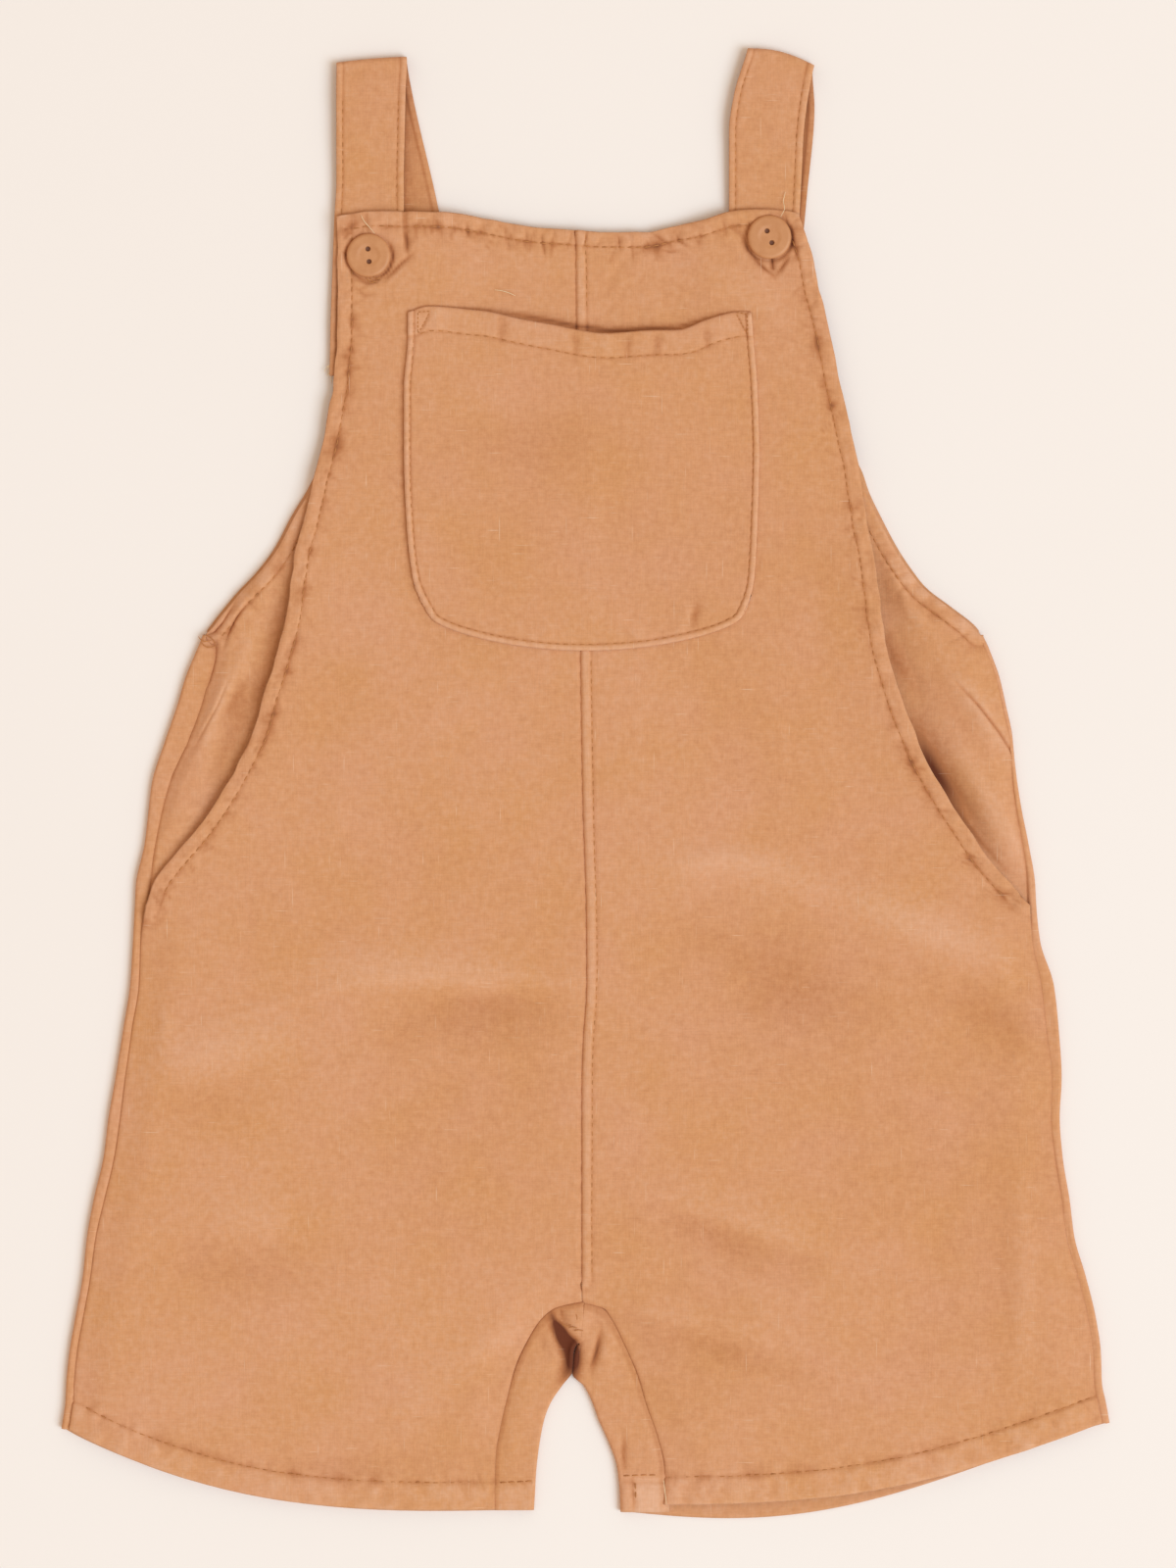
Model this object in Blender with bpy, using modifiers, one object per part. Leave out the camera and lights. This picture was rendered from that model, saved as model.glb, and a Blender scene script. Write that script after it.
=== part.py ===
import bpy
import math
import numpy as np

# Short dungarees for a small child, laid flat on a surface, front up.
# +X is the picture's right, +Y points up to the straps, +Z is up off the surface.
# Each cut piece of cloth is one sheet: a loft between section rows, then given its thickness.

for old in list(bpy.data.objects):
    bpy.data.objects.remove(old, do_unlink=True)

# Driving dimensions in millimetres
wall = 1.0
gap = 0.3
foldRadius = 0.8
frontLevel = 3.4
pocketLift = wall + gap
buttonRadius = 7.5
buttonHeight = 2.5
buttonHoleRadius = 0.95
buttonHoleSpread = 2.15
shankRadius = 1.2
slotWidth = 3.4
slotLength = 15.6

# Outline tables are read across and down the garment in thirds of a millimetre
unitsPerMm = 3.0
centreAcross = 597.4
centreDown = 799.3
seamGap = gap * unitsPerMm / 2.0

# Levels of the layers, at mid thickness
floorLevel = wall / 2.0
upperLevel = floorLevel + 2.0 * foldRadius
foldInset = foldRadius + wall / 2.0

# Centre front seam: down, across
centreSeam = np.array([
    (215, 587), (333, 588), (660, 592), (818, 594.5), (930, 598),
    (1005, 598.5), (1060, 595), (1110, 593.5), (1310, 593.5), (1327, 594)])

# Front inseams from the crotch point to the hem: down, across
inseamLeft = np.array([
    (1327, 594), (1330, 580), (1334, 566), (1344, 553), (1367, 538), (1393, 526),
    (1423, 518), (1453, 511), (1483, 506), (1512, 505), (1539, 505)])
inseamRight = np.array([
    (1327, 594), (1331, 606), (1334, 616), (1345, 624), (1371, 637), (1403, 651),
    (1431, 659), (1466, 671), (1497, 678), (1516, 678), (1534, 677)])

# Free side edges of the front, from the bib corner to where the side seam starts: down, across
freeEdgeLeft = np.array([
    (222, 344), (262, 345), (333, 345), (381, 342), (440, 333), (486, 322),
    (534, 310), (567, 302), (615, 295), (660, 286), (703, 272), (755, 256), (785, 241),
    (814, 224), (845, 203), (873, 178), (902, 157), (922, 151)])
freeEdgeRight = np.array([
    (219, 814), (236, 820), (262, 828), (300, 836), (336, 845), (382, 854), (436, 866), (486, 877),
    (534, 884), (567, 890), (615, 897), (657, 902), (697, 914), (752, 934), (783, 948),
    (814, 966), (846, 987), (878, 1009), (904, 1033), (922, 1047)])

# Top edge of the bib: across, down
bibTop = np.array([
    (344, 222), (362, 219), (376, 217), (453, 218), (499, 225), (545, 233), (587, 236), (613, 238),
    (660, 238), (683, 233), (717, 226), (747, 217), (774, 215), (800, 216), (814, 219)])

# Side folds and side seams, armhole to hem: down, fold across, seam across
sideLeft = np.array([
    (668, 200, 219), (690, 190, 214), (720, 181, 206), (755, 169, 193), (800, 155, 173),
    (825, 152, 166), (860, 148, 159), (902, 139, 153), (922, 138, 150), (960, 136, 144),
    (1005, 133, 142), (1050, 126, 135), (1100, 118, 128), (1140, 111, 123), (1180, 106, 117),
    (1223, 96, 107), (1262, 89, 98), (1300, 85, 93), (1345, 77, 85), (1380, 71, 79),
    (1410, 68, 76), (1430, 67, 75), (1457, 63, 71)])
sideRight = np.array([
    (668, 1011, 1003), (690, 1019, 1011), (720, 1026, 1018), (755, 1033, 1025),
    (800, 1038, 1030), (825, 1042, 1034), (860, 1049, 1041), (902, 1056, 1048), (922, 1057, 1049),
    (960, 1061, 1053), (1005, 1075, 1062), (1050, 1080, 1067), (1100, 1083, 1073),
    (1140, 1081, 1072), (1180, 1084, 1076), (1223, 1091, 1083), (1262, 1096, 1088),
    (1300, 1107, 1099), (1345, 1118, 1110), (1380, 1123, 1115), (1410, 1124, 1116),
    (1430, 1128, 1120), (1452, 1132, 1124)])

# Armhole edges of the back, strap joint to side seam: down, across
armholeLeft = np.array([
    (402, 408), (425, 386), (450, 358), (478, 326), (503, 312), (526, 298), (560, 280),
    (584, 262), (604, 243), (628, 223), (652, 205)])
armholeRight = np.array([
    (402, 808), (425, 830), (450, 856), (478, 878), (503, 887), (526, 898), (560, 916),
    (584, 932), (600, 945), (620, 971), (640, 996), (650, 1003)])

# Inner leg from the crotch to the hem: fold across, fold down, seam across, seam down
legLeft = np.array([
    (587, 1390, 595, 1330), (580, 1401, 582, 1332), (572, 1410, 567, 1336),
    (564, 1420, 554, 1346), (559, 1431, 540, 1368), (555, 1446, 528, 1394),
    (552, 1464, 519, 1424), (549, 1484, 512, 1454), (547, 1504, 507, 1484),
    (546, 1523, 506, 1513), (545, 1540, 506, 1540)])
legRight = np.array([
    (591, 1391, 597, 1331), (594, 1401, 606, 1333), (597, 1411, 616, 1337),
    (600, 1423, 624, 1347), (605, 1436, 637, 1372), (611, 1449, 650, 1404),
    (617, 1462, 659, 1432), (623, 1476, 671, 1467), (629, 1494, 677, 1498),
    (632, 1517, 677, 1517), (633, 1542, 677, 1542)])

# Largest soft folds of the front: across and down at both ends, half width in mm, height in mm
frontFolds = np.array([
    (330, 990, 570, 1002, 8, 0.9),
    (420, 1045, 575, 1030, 9, -0.7),
    (170, 1085, 300, 1050, 8, 0.7),
    (690, 880, 860, 905, 8, 0.9),
    (860, 905, 1030, 1050, 9, 0.9),
    (740, 990, 850, 1040, 11, -0.8),
    (660, 1235, 820, 1300, 8, -0.8),
    (700, 1370, 820, 1400, 8, -0.6),
    (170, 1290, 300, 1290, 9, -0.6),
    (210, 1235, 300, 1240, 9, 0.6),
    (1035, 1180, 1040, 1400, 5, 0.6),
    (400, 1440, 520, 1370, 9, 0.6)])

# Folds of the side pieces, in the same columns
sideFolds = np.array([
    (238, 690, 205, 765, 3.5, 0.9),
    (960, 668, 1015, 752, 4.0, 1.0),
    (905, 590, 945, 660, 3.0, 0.5)])

# Strap rows from the end behind the bib up to the fold: left across, down, right across, down, level
strapFrontLeft = np.array([
    (337, 384, 410, 383, 2.1), (338, 330, 411, 330, 2.1), (340, 275, 412, 275, 2.1),
    (342, 222, 412, 222, 2.1), (344, 185, 412, 184, 2.4), (344, 135, 413, 133, 2.9),
    (344, 95, 414, 91, 3.2)])
strapFrontRight = np.array([
    (742, 384, 811, 382, 2.1), (742, 330, 812, 330, 2.1), (743, 275, 813, 275, 2.1),
    (744, 222, 815, 222, 2.1), (744, 180, 817, 184, 2.4), (744, 135, 819, 140, 2.9),
    (749, 98, 823, 105, 3.2)])

# Fold line of each strap at the top: left across, down, right across, down
strapTopLeft = (344, 66, 415, 60)
strapTopRight = (763, 51.5, 830, 68.5)

# Strap rows from the fold down to the back's top edge
strapBackLeft = np.array([
    (346, 100, 421, 97), (361, 200, 444, 197), (386, 300, 465, 298), (413, 397, 487, 397)])
strapBackRight = np.array([
    (758, 105, 831, 110), (747, 200, 823, 203), (738, 300, 814, 300), (731, 397, 805, 397)])

# Patch pocket on the bib: down, left across, right across
pocketSides = np.array([
    (320, 417, 766), (346, 417, 768), (397, 413, 772), (463, 413, 774), (540, 416, 772),
    (591, 422, 769), (610, 429, 765), (628, 439, 757)])

# Mouth of the pocket: share of the width, drop below the corners
pocketMouth = np.array([
    (0.0, 0), (0.06, -6), (0.2, -2), (0.34, 8), (0.43, 13), (0.5, 18), (0.59, 22),
    (0.68, 20), (0.79, 18), (0.87, 8), (0.98, -1), (1.0, 0)])
pocketBelly = 36.0

# Button centres: across, down, and the turn of their two holes in degrees
buttonLeft = (377.0, 262.0, 5.0)
buttonRight = (784.0, 243.5, 22.0)


def edgeAt(table, down, column=1):
    return np.interp(down, table[:, 0], table[:, column])


def ease(value, start, end):
    share = np.clip((value - start) / (end - start), 0.0, 1.0)
    return share * share * (3.0 - 2.0 * share)


def place(across, down, level):
    x = (np.asarray(across, float) - centreAcross) / unitsPerMm
    y = (centreDown - np.asarray(down, float)) / unitsPerMm
    z = np.broadcast_to(np.asarray(level, float), x.shape)
    return np.stack([x, y, z], axis=-1) * 0.001


def foldHeight(across, down, folds):
    height = np.zeros(np.broadcast(across, down).shape)
    for startAcross, startDown, endAcross, endDown, width, rise in folds:
        runAcross = endAcross - startAcross
        runDown = endDown - startDown
        along = (across - startAcross) * runAcross + (down - startDown) * runDown
        along = np.clip(along / (runAcross ** 2 + runDown ** 2), 0.0, 1.0)
        off = np.hypot(across - startAcross - along * runAcross, down - startDown - along * runDown)
        height = height + rise * np.exp(-(off / (width * unitsPerMm)) ** 2)
    return height


def frontHeight(across, down):
    # Base level, a sag between the straps, a settled hem and the soft folds
    sag = ease(across, 430, 500) * (1.0 - ease(across, 680, 735)) * (1.0 - ease(down, 300, 400))
    settle = ease(down, 1420, 1535)
    return frontLevel - 1.1 * sag - 0.9 * settle + foldHeight(across, down, frontFolds)


def smoothShade(mesh):
    mesh.shade_smooth()
    mesh.set_sharp_from_angle(angle=math.radians(50))


clothColours = {
    "front": (0.638, 0.302, 0.133), "side": (0.600, 0.278, 0.120), "back": (0.565, 0.256, 0.110),
    "strap": (0.650, 0.310, 0.138), "pocket": (0.645, 0.306, 0.136), "button": (0.610, 0.270, 0.115)}


def makeMaterial(name, colour, roughness):
    material = bpy.data.materials.new(name)
    material.use_nodes = True
    shader = material.node_tree.nodes["Principled BSDF"]
    shader.inputs["Base Color"].default_value = (*colour, 1.0)
    shader.inputs["Roughness"].default_value = roughness
    shader.inputs["Metallic"].default_value = 0.0
    return material


overalls = bpy.data.collections.new("overalls")
bpy.context.scene.collection.children.link(overalls)
cutters = bpy.data.collections.new("cutters")
bpy.context.scene.collection.children.link(cutters)
garment = bpy.data.objects.new("garment", None)
overalls.objects.link(garment)


def makeSheet(name, rows, shown, colour):
    # rows holds the mid surface as section rows, and shown says which cells between them are cloth
    count, width = rows.shape[:2]
    index = np.arange(count * width).reshape(count, width)
    cells = np.stack([index[:-1, :-1], index[:-1, 1:], index[1:, 1:], index[1:, :-1]], axis=-1)
    cells = cells[shown]
    used, cells = np.unique(cells, return_inverse=True)
    points = rows.reshape(-1, 3)[used]
    mesh = bpy.data.meshes.new(name)
    mesh.from_pydata(points.tolist(), [], cells.reshape(-1, 4).tolist())
    mesh.update()
    sheet = bpy.data.objects.new(name, mesh)
    overalls.objects.link(sheet)
    sheet.parent = garment
    mesh.materials.append(makeMaterial(name, clothColours[colour], 0.92))
    thickness = sheet.modifiers.new("cloth thickness", "SOLIDIFY")
    thickness.thickness = wall * 0.001
    thickness.offset = 0.0
    thickness.use_even_offset = True
    smoothShade(mesh)
    return sheet


def allShown(rows):
    return np.ones((rows.shape[0] - 1, rows.shape[1] - 1), bool)


# Front halves
def buildFront(name, side, freeEdge, sideTable, inseam, hemDown, hemBow, bowPower):
    body = np.array([
        219, 240, 262, 290, 318, 346, 372, 400, 440, 486, 530, 567, 606, 645, 690, 735, 780,
        818, 850, 880, 902, 922, 940, 960, 982, 1005, 1027, 1050, 1075, 1100, 1140, 1180, 1223, 1262,
        1300])
    innerDown = np.concatenate([body, inseam[:, 0]])
    outerLast = np.array([1326, 1345, 1366, 1380, 1395, 1410, 1420, 1430, 1438, 1445, hemDown])
    outerDown = np.concatenate([body, outerLast])
    innerDown[0] = 236
    innerDown[1] = 248
    innerAcross = np.where(
        innerDown <= 1327, edgeAt(centreSeam, innerDown), edgeAt(inseam, innerDown))
    innerAcross = innerAcross - side * seamGap
    outerAcross = np.where(
        outerDown <= 922, edgeAt(freeEdge, outerDown), edgeAt(sideTable, outerDown, 2) + side * seamGap)
    share = np.linspace(0.0, 1.0, 13)[None, :]
    across = outerAcross[:, None] + (innerAcross - outerAcross)[:, None] * share
    down = outerDown[:, None] + (innerDown - outerDown)[:, None] * share
    # The top edge follows its own line and the hem bows down between its two corners
    topShare = np.clip((300.0 - outerDown) / (300.0 - outerDown[0]), 0.0, 1.0)[:, None]
    hemShare = ease(innerDown, 1262, innerDown[-1])[:, None]
    down = down + hemShare * hemBow * np.sin(math.pi * share ** bowPower)
    topEdge = np.interp(across[0], bibTop[:, 0], bibTop[:, 1])
    down = down + topShare * (topEdge - down[0])[None, :]
    level = frontHeight(across, down)
    # Along the side seam and the inseam the front comes down to the level of the back's edge
    fromSide = np.abs(across - outerAcross[:, None])
    nearSide = (1.0 - ease(fromSide, 0.0, 40.0)) * ease(down, 925, 965)
    fromLeg = np.abs(across - innerAcross[:, None])
    nearLeg = (1.0 - ease(fromLeg, 0.0, 40.0)) * ease(innerDown[:, None], 1262, 1328)
    level = level + (upperLevel - level) * np.maximum(nearSide, nearLeg)
    rows = place(across, down, level)
    if side < 0:
        rows = rows[:, ::-1]
    return makeSheet(name, rows, allShown(rows), "front")


frontLeft = buildFront("front_left", 1, freeEdgeLeft, sideLeft, inseamLeft, 1457.0, 32.0, 0.85)
frontRight = buildFront("front_right", -1, freeEdgeRight, sideRight, inseamRight, 1451.0, 25.0, 1.0)


# Side pieces, which show between the front's free edge and the side seam
def buildSide(name, side, freeEdge, armhole, sideTable):
    down = np.array([
        482, 503, 526, 552, 580, 606, 630, 648, 668, 690, 705, 720, 737, 755, 778, 800, 825, 842, 860,
        881, 902, 918])
    outer = np.where(
        down < 655, edgeAt(armhole, down) + side * 5.0, edgeAt(sideTable, down, 2) + side * seamGap)
    inner = edgeAt(freeEdge, down) + side * 28.0
    share = np.linspace(0.0, 1.0, 9)[None, :]
    across = outer[:, None] + (inner - outer)[:, None] * share
    lines = np.broadcast_to(down[:, None], across.shape)
    # The folds die out before the sheet goes under the front
    clear = side * (edgeAt(freeEdge, lines) - across)
    level = upperLevel + foldHeight(across, lines, sideFolds) * ease(clear, 4.0, 34.0)
    rows = place(across, lines, level)
    if side < 0:
        rows = rows[:, ::-1]
    return makeSheet(name, rows, allShown(rows), "side")


sideSheetLeft = buildSide("side_left", 1, freeEdgeLeft, armholeLeft, sideLeft)
sideSheetRight = buildSide("side_right", -1, freeEdgeRight, armholeRight, sideRight)


# Back halves, which fold round the sides and the inner legs onto the front
def foldNormal(across, down, inward):
    runAcross = np.gradient(across)
    runDown = np.gradient(down)
    length = np.hypot(runAcross, runDown)
    return inward * runDown / length, -inward * runAcross / length


def foldArc(across, down, normalAcross, normalDown, segments):
    # Half circle from the floor layer round to the upper layer
    turn = np.linspace(-math.pi / 2.0, math.pi / 2.0, segments + 1)[None, :]
    reach = foldRadius * np.cos(turn) * unitsPerMm
    arcAcross = across[:, None] - normalAcross[:, None] * reach
    arcDown = down[:, None] - normalDown[:, None] * reach
    level = floorLevel + foldRadius * (1.0 + np.sin(turn)) + 0.0 * arcAcross
    return arcAcross, arcDown, level


def buildBack(name, side, armhole, sideTable, leg, hemDown, hemBow, bowPower):
    armholeDown = np.array([402, 425, 450, 478, 503, 526, 560, 584, 604, 628, 648])
    sideDown = np.array([
        668, 690, 720, 755, 800, 825, 860, 902, 922, 960, 1005, 1050, 1100, 1140, 1180, 1223, 1262,
        1300, 1326, 1345])
    legDown = np.array([1366, 1380, 1395, 1410, 1420, 1430, 1435, 1439, 1443, 1447, hemDown])
    outerDown = np.concatenate([armholeDown, sideDown, legDown]).astype(float)
    firstFold = len(armholeDown)
    firstLeg = firstFold + len(sideDown)
    isFold = np.arange(len(outerDown)) >= firstFold
    foldAcross = edgeAt(sideTable, outerDown)
    normalAcross, normalDown = foldNormal(foldAcross, outerDown, side)
    inset = foldInset * unitsPerMm
    outAcross = np.where(isFold, foldAcross + normalAcross * inset, edgeAt(armhole, outerDown))
    outDown = np.where(isFold, outerDown + normalDown * inset, outerDown)
    # Inner boundary: the centre back line, then the fold of the inner leg
    legNormalAcross, legNormalDown = foldNormal(leg[:, 0], leg[:, 1], -side)
    legAcross = leg[:, 0] + legNormalAcross * inset
    legDownMid = leg[:, 1] + legNormalDown * inset
    centreDownRows = outerDown[:firstLeg].copy()
    centreDownRows[-1] = 1376.0
    centreDownRows[-2] = 1345.0
    centreAcrossRows = np.full(firstLeg, 593.0 - side * 1.0)
    inAcross = np.concatenate([centreAcrossRows, legAcross])
    inDown = np.concatenate([centreDownRows, legDownMid])
    share = np.linspace(0.0, 1.0, 12)[None, :]
    wallAcross = outAcross[:, None] + (inAcross - outAcross)[:, None] * share
    wallDown = outDown[:, None] + (inDown - outDown)[:, None] * share
    hemShare = ease(outerDown, 1262, outerDown[-1])[:, None]
    wallDown = wallDown + hemShare * hemBow * np.sin(math.pi * share ** bowPower)
    wallLevel = np.full(wallAcross.shape, floorLevel)
    # Outer fold and the strip that reaches the side seam
    arcAcross, arcDown, arcLevel = foldArc(outAcross, outDown, normalAcross, normalDown, 4)
    seamAcross = edgeAt(sideTable, outerDown, 2) - side * seamGap
    strip = np.array([0.5, 1.0])[None, :]
    stripAcross = outAcross[:, None] + (seamAcross - outAcross)[:, None] * strip
    stripDown = outDown[:, None] + (outerDown - outDown)[:, None] * strip
    stripLevel = np.full(stripAcross.shape, upperLevel)
    # Inner leg fold and the strip that reaches the inseam
    rowCount = len(outerDown)
    legArcAcross = np.zeros((rowCount, 5))
    legArcDown = np.zeros((rowCount, 5))
    legArcLevel = np.zeros((rowCount, 5))
    legStripAcross = np.zeros((rowCount, 3))
    legStripDown = np.zeros((rowCount, 3))
    arc = foldArc(legAcross, legDownMid, legNormalAcross, legNormalDown, 4)
    legArcAcross[firstLeg:], legArcDown[firstLeg:], legArcLevel[firstLeg:] = arc
    share3 = np.linspace(0.0, 1.0, 4)[None, 1:]
    legStripAcross[firstLeg:] = legAcross[:, None] + (leg[:, 2] - legAcross)[:, None] * share3
    legStripDown[firstLeg:] = legDownMid[:, None] + (leg[:, 3] - legDownMid)[:, None] * share3
    legStripLevel = np.full(legStripAcross.shape, upperLevel)
    across = np.hstack([
        stripAcross[:, ::-1], arcAcross[:, :0:-1], wallAcross, legArcAcross[:, 1:], legStripAcross])
    down = np.hstack([
        stripDown[:, ::-1], arcDown[:, :0:-1], wallDown, legArcDown[:, 1:], legStripDown])
    level = np.hstack([
        stripLevel[:, ::-1], arcLevel[:, :0:-1], wallLevel, legArcLevel[:, 1:], legStripLevel])
    rows = place(across, down, level)
    shown = np.zeros((rows.shape[0] - 1, rows.shape[1] - 1), bool)
    firstWall = 6
    lastWall = firstWall + wallAcross.shape[1] - 1
    shown[:, firstWall:lastWall] = True
    shown[firstFold:, :firstWall] = True
    shown[firstLeg:, lastWall:] = True
    if side < 0:
        rows = rows[:, ::-1]
        shown = shown[:, ::-1]
    return makeSheet(name, rows, shown, "back")


backLeft = buildBack("back_left", 1, armholeLeft, sideLeft, legLeft, 1457.0, 35.0, 0.85)
backRight = buildBack("back_right", -1, armholeRight, sideRight, legRight, 1451.0, 36.0, 1.25)


# Straps, each one band folded over at the top
def buildStrap(name, frontRows, topLine, backRows):
    radius = (frontRows[-1, 4] - floorLevel) / 2.0
    turn = np.linspace(math.pi / 2.0, -math.pi / 2.0, 7)
    runAcross = topLine[2] - topLine[0]
    runDown = topLine[3] - topLine[1]
    length = math.hypot(runAcross, runDown)
    outAcross = runDown / length
    outDown = -runAcross / length
    reach = (radius * np.cos(turn) - radius) * unitsPerMm
    arcRows = np.stack([
        topLine[0] + outAcross * reach, topLine[1] + outDown * reach,
        topLine[2] + outAcross * reach, topLine[3] + outDown * reach,
        floorLevel + radius * (1.0 + np.sin(turn))], axis=-1)
    lower = np.column_stack([backRows, np.full(len(backRows), floorLevel)])
    path = np.vstack([frontRows, arcRows, lower])
    share = np.linspace(0.0, 1.0, 6)[None, :]
    across = path[:, 0:1] + (path[:, 2:3] - path[:, 0:1]) * share
    down = path[:, 1:2] + (path[:, 3:4] - path[:, 1:2]) * share
    level = path[:, 4:5] + 0.0 * share
    rows = place(across, down, level)
    return makeSheet(name, rows, allShown(rows), "strap")


strapLeft = buildStrap("strap_left", strapFrontLeft, strapTopLeft, strapBackLeft)
strapRight = buildStrap("strap_right", strapFrontRight, strapTopRight, strapBackRight)


# Patch pocket: the bib's own points moved out, with a slightly open mouth
def buildPocket():
    down = np.array([320, 333, 346, 372, 400, 440, 486, 530, 567, 591, 610, 628.0])
    left = edgeAt(pocketSides, down)
    right = edgeAt(pocketSides, down, 2)
    share = np.sort(np.concatenate([np.linspace(0.0, 1.0, 15), [0.02, 0.98]]))[None, :]
    across = left[:, None] + (right - left)[:, None] * share
    mouth = np.interp(share, pocketMouth[:, 0], pocketMouth[:, 1])
    mouthShare = (1.0 - ease(down, 320, 430))[:, None]
    bellyShare = ease(down, 400, 628)[:, None]
    lines = down[:, None] + mouth * mouthShare
    lines = lines + pocketBelly * np.sin(math.pi * share) ** 0.6 * bellyShare
    lift = 0.9 * (1.0 - ease(down, 320, 420))[:, None] * np.sin(math.pi * share)
    level = frontHeight(across, lines) + pocketLift + 0.05 + lift
    rows = place(across, lines, level)
    return makeSheet("bib_pocket", rows, allShown(rows), "pocket")


bibPocket = buildPocket()


# Buttons, sewn to the straps through slots in the bib
def buildButton(name, centre):
    across, down, turn = centre
    spot = place(across, down, 0.0)
    base = frontHeight(np.array(across), np.array(down)) + wall / 2.0 + gap
    strapTop = upperLevel + wall / 2.0
    # Outline from the centre of the shank's end round to the centre of the dish: radius, height
    outline = np.array([
        (0.0, strapTop + gap), (shankRadius, strapTop + gap), (shankRadius, base),
        (buttonRadius - 0.9, base), (buttonRadius - 0.2, base + 0.5), (buttonRadius, base + 1.2),
        (buttonRadius - 0.2, base + 1.9), (buttonRadius - 0.8, base + 2.35),
        (buttonRadius - 1.5, base + buttonHeight), (buttonRadius - 2.1, base + 2.3),
        (buttonRadius - 2.7, base + 1.75), (buttonRadius - 3.5, base + 1.55), (0.0, base + 1.5)])
    steps = 28
    mesh = bpy.data.meshes.new(name)
    edges = [(i, i + 1) for i in range(len(outline) - 1)]
    points = [(radius * 0.001, 0.0, height * 0.001) for radius, height in outline[::-1]]
    mesh.from_pydata(points, edges, [])
    button = bpy.data.objects.new(name, mesh)
    overalls.objects.link(button)
    button.parent = garment
    button.location = (spot[0], spot[1], 0.0)
    button.rotation_euler = (0.0, 0.0, math.radians(turn))
    mesh.materials.append(makeMaterial(name, clothColours["button"], 0.5))
    screw = button.modifiers.new("turned disc", "SCREW")
    screw.steps = steps
    screw.render_steps = steps
    screw.use_merge_vertices = True
    screw.merge_threshold = 0.000001
    screw.use_normal_calculate = True
    for sign in (-1.0, 1.0):
        bpy.ops.mesh.primitive_cylinder_add(
            vertices=14, radius=buttonHoleRadius * 0.001, depth=0.012,
            location=(0.0, sign * buttonHoleSpread * 0.001, 0.005))
        drill = bpy.context.object
        drill.name = name + "_hole"
        for owner in list(drill.users_collection):
            owner.objects.unlink(drill)
        cutters.objects.link(drill)
        drill.parent = button
        drill.hide_render = True
        drill.display_type = "WIRE"
        cut = button.modifiers.new("sewing hole", "BOOLEAN")
        cut.operation = "DIFFERENCE"
        cut.solver = "EXACT"
        cut.object = drill
    return button


buttonSolidLeft = buildButton("button_left", buttonLeft)
buttonSolidRight = buildButton("button_right", buttonRight)


def cutSlot(panel, centre, turn):
    # Upright buttonhole with round ends, a little lower than the button's own centre
    across, down = centre
    spot = place(across, down, frontLevel)
    half = (slotLength - slotWidth) / 2.0
    bpy.ops.mesh.primitive_cylinder_add(
        vertices=14, radius=slotWidth / 2.0 * 0.001, depth=0.006, location=tuple(spot),
        rotation=(0.0, 0.0, math.radians(turn)))
    slot = bpy.context.object
    slot.name = panel.name + "_slot"
    coordinates = np.zeros(len(slot.data.vertices) * 3)
    slot.data.vertices.foreach_get("co", coordinates)
    coordinates = coordinates.reshape(-1, 3)
    coordinates[:, 1] += np.where(coordinates[:, 1] > 1e-6, half, -half) * 0.001
    slot.data.vertices.foreach_set("co", coordinates.ravel())
    for owner in list(slot.users_collection):
        owner.objects.unlink(slot)
    cutters.objects.link(slot)
    slot.hide_render = True
    slot.display_type = "WIRE"
    cut = panel.modifiers.new("buttonhole", "BOOLEAN")
    cut.operation = "DIFFERENCE"
    cut.solver = "EXACT"
    cut.object = slot


cutSlot(frontLeft, (377.0, 270.0), 0.0)
cutSlot(frontRight, (785.0, 252.0), 5.0)
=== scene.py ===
import math

import bpy
import numpy as np
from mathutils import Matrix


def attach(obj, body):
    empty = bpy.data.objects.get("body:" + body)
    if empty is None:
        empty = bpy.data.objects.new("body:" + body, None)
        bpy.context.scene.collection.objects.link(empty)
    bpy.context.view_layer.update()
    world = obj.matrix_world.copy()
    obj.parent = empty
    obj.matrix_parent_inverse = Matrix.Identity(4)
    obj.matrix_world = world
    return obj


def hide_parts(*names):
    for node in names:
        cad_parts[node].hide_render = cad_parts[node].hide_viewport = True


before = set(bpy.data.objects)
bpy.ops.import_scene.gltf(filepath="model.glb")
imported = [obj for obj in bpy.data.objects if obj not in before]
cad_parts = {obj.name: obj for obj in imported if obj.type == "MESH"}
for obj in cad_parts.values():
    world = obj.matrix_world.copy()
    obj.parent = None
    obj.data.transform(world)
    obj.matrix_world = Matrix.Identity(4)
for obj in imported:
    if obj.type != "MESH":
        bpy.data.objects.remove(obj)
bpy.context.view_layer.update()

# Outline tables are read across and down the garment in thirds of a millimetre, as the solids' are
unitsPerMm = 3.0
centreAcross = 597.4
centreDown = 799.3

cloth = {
    "thickness": 0.7,       # mm, a washed linen and cotton weave
    "solidWall": 1.0,       # mm, the solid that each shell stands for
    "frontLevel": 3.4,      # mm, middle of the front's wall above the surface
    "upperLevel": 2.1,      # mm, side pieces and the back's folded strips
}
# The shell keeps to the outer face of its solid, so its middle is raised by half of what it is thinner
for layer in ("frontLevel", "upperLevel"):
    cloth[layer] += (cloth["solidWall"] - cloth["thickness"]) / 2.0

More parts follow.
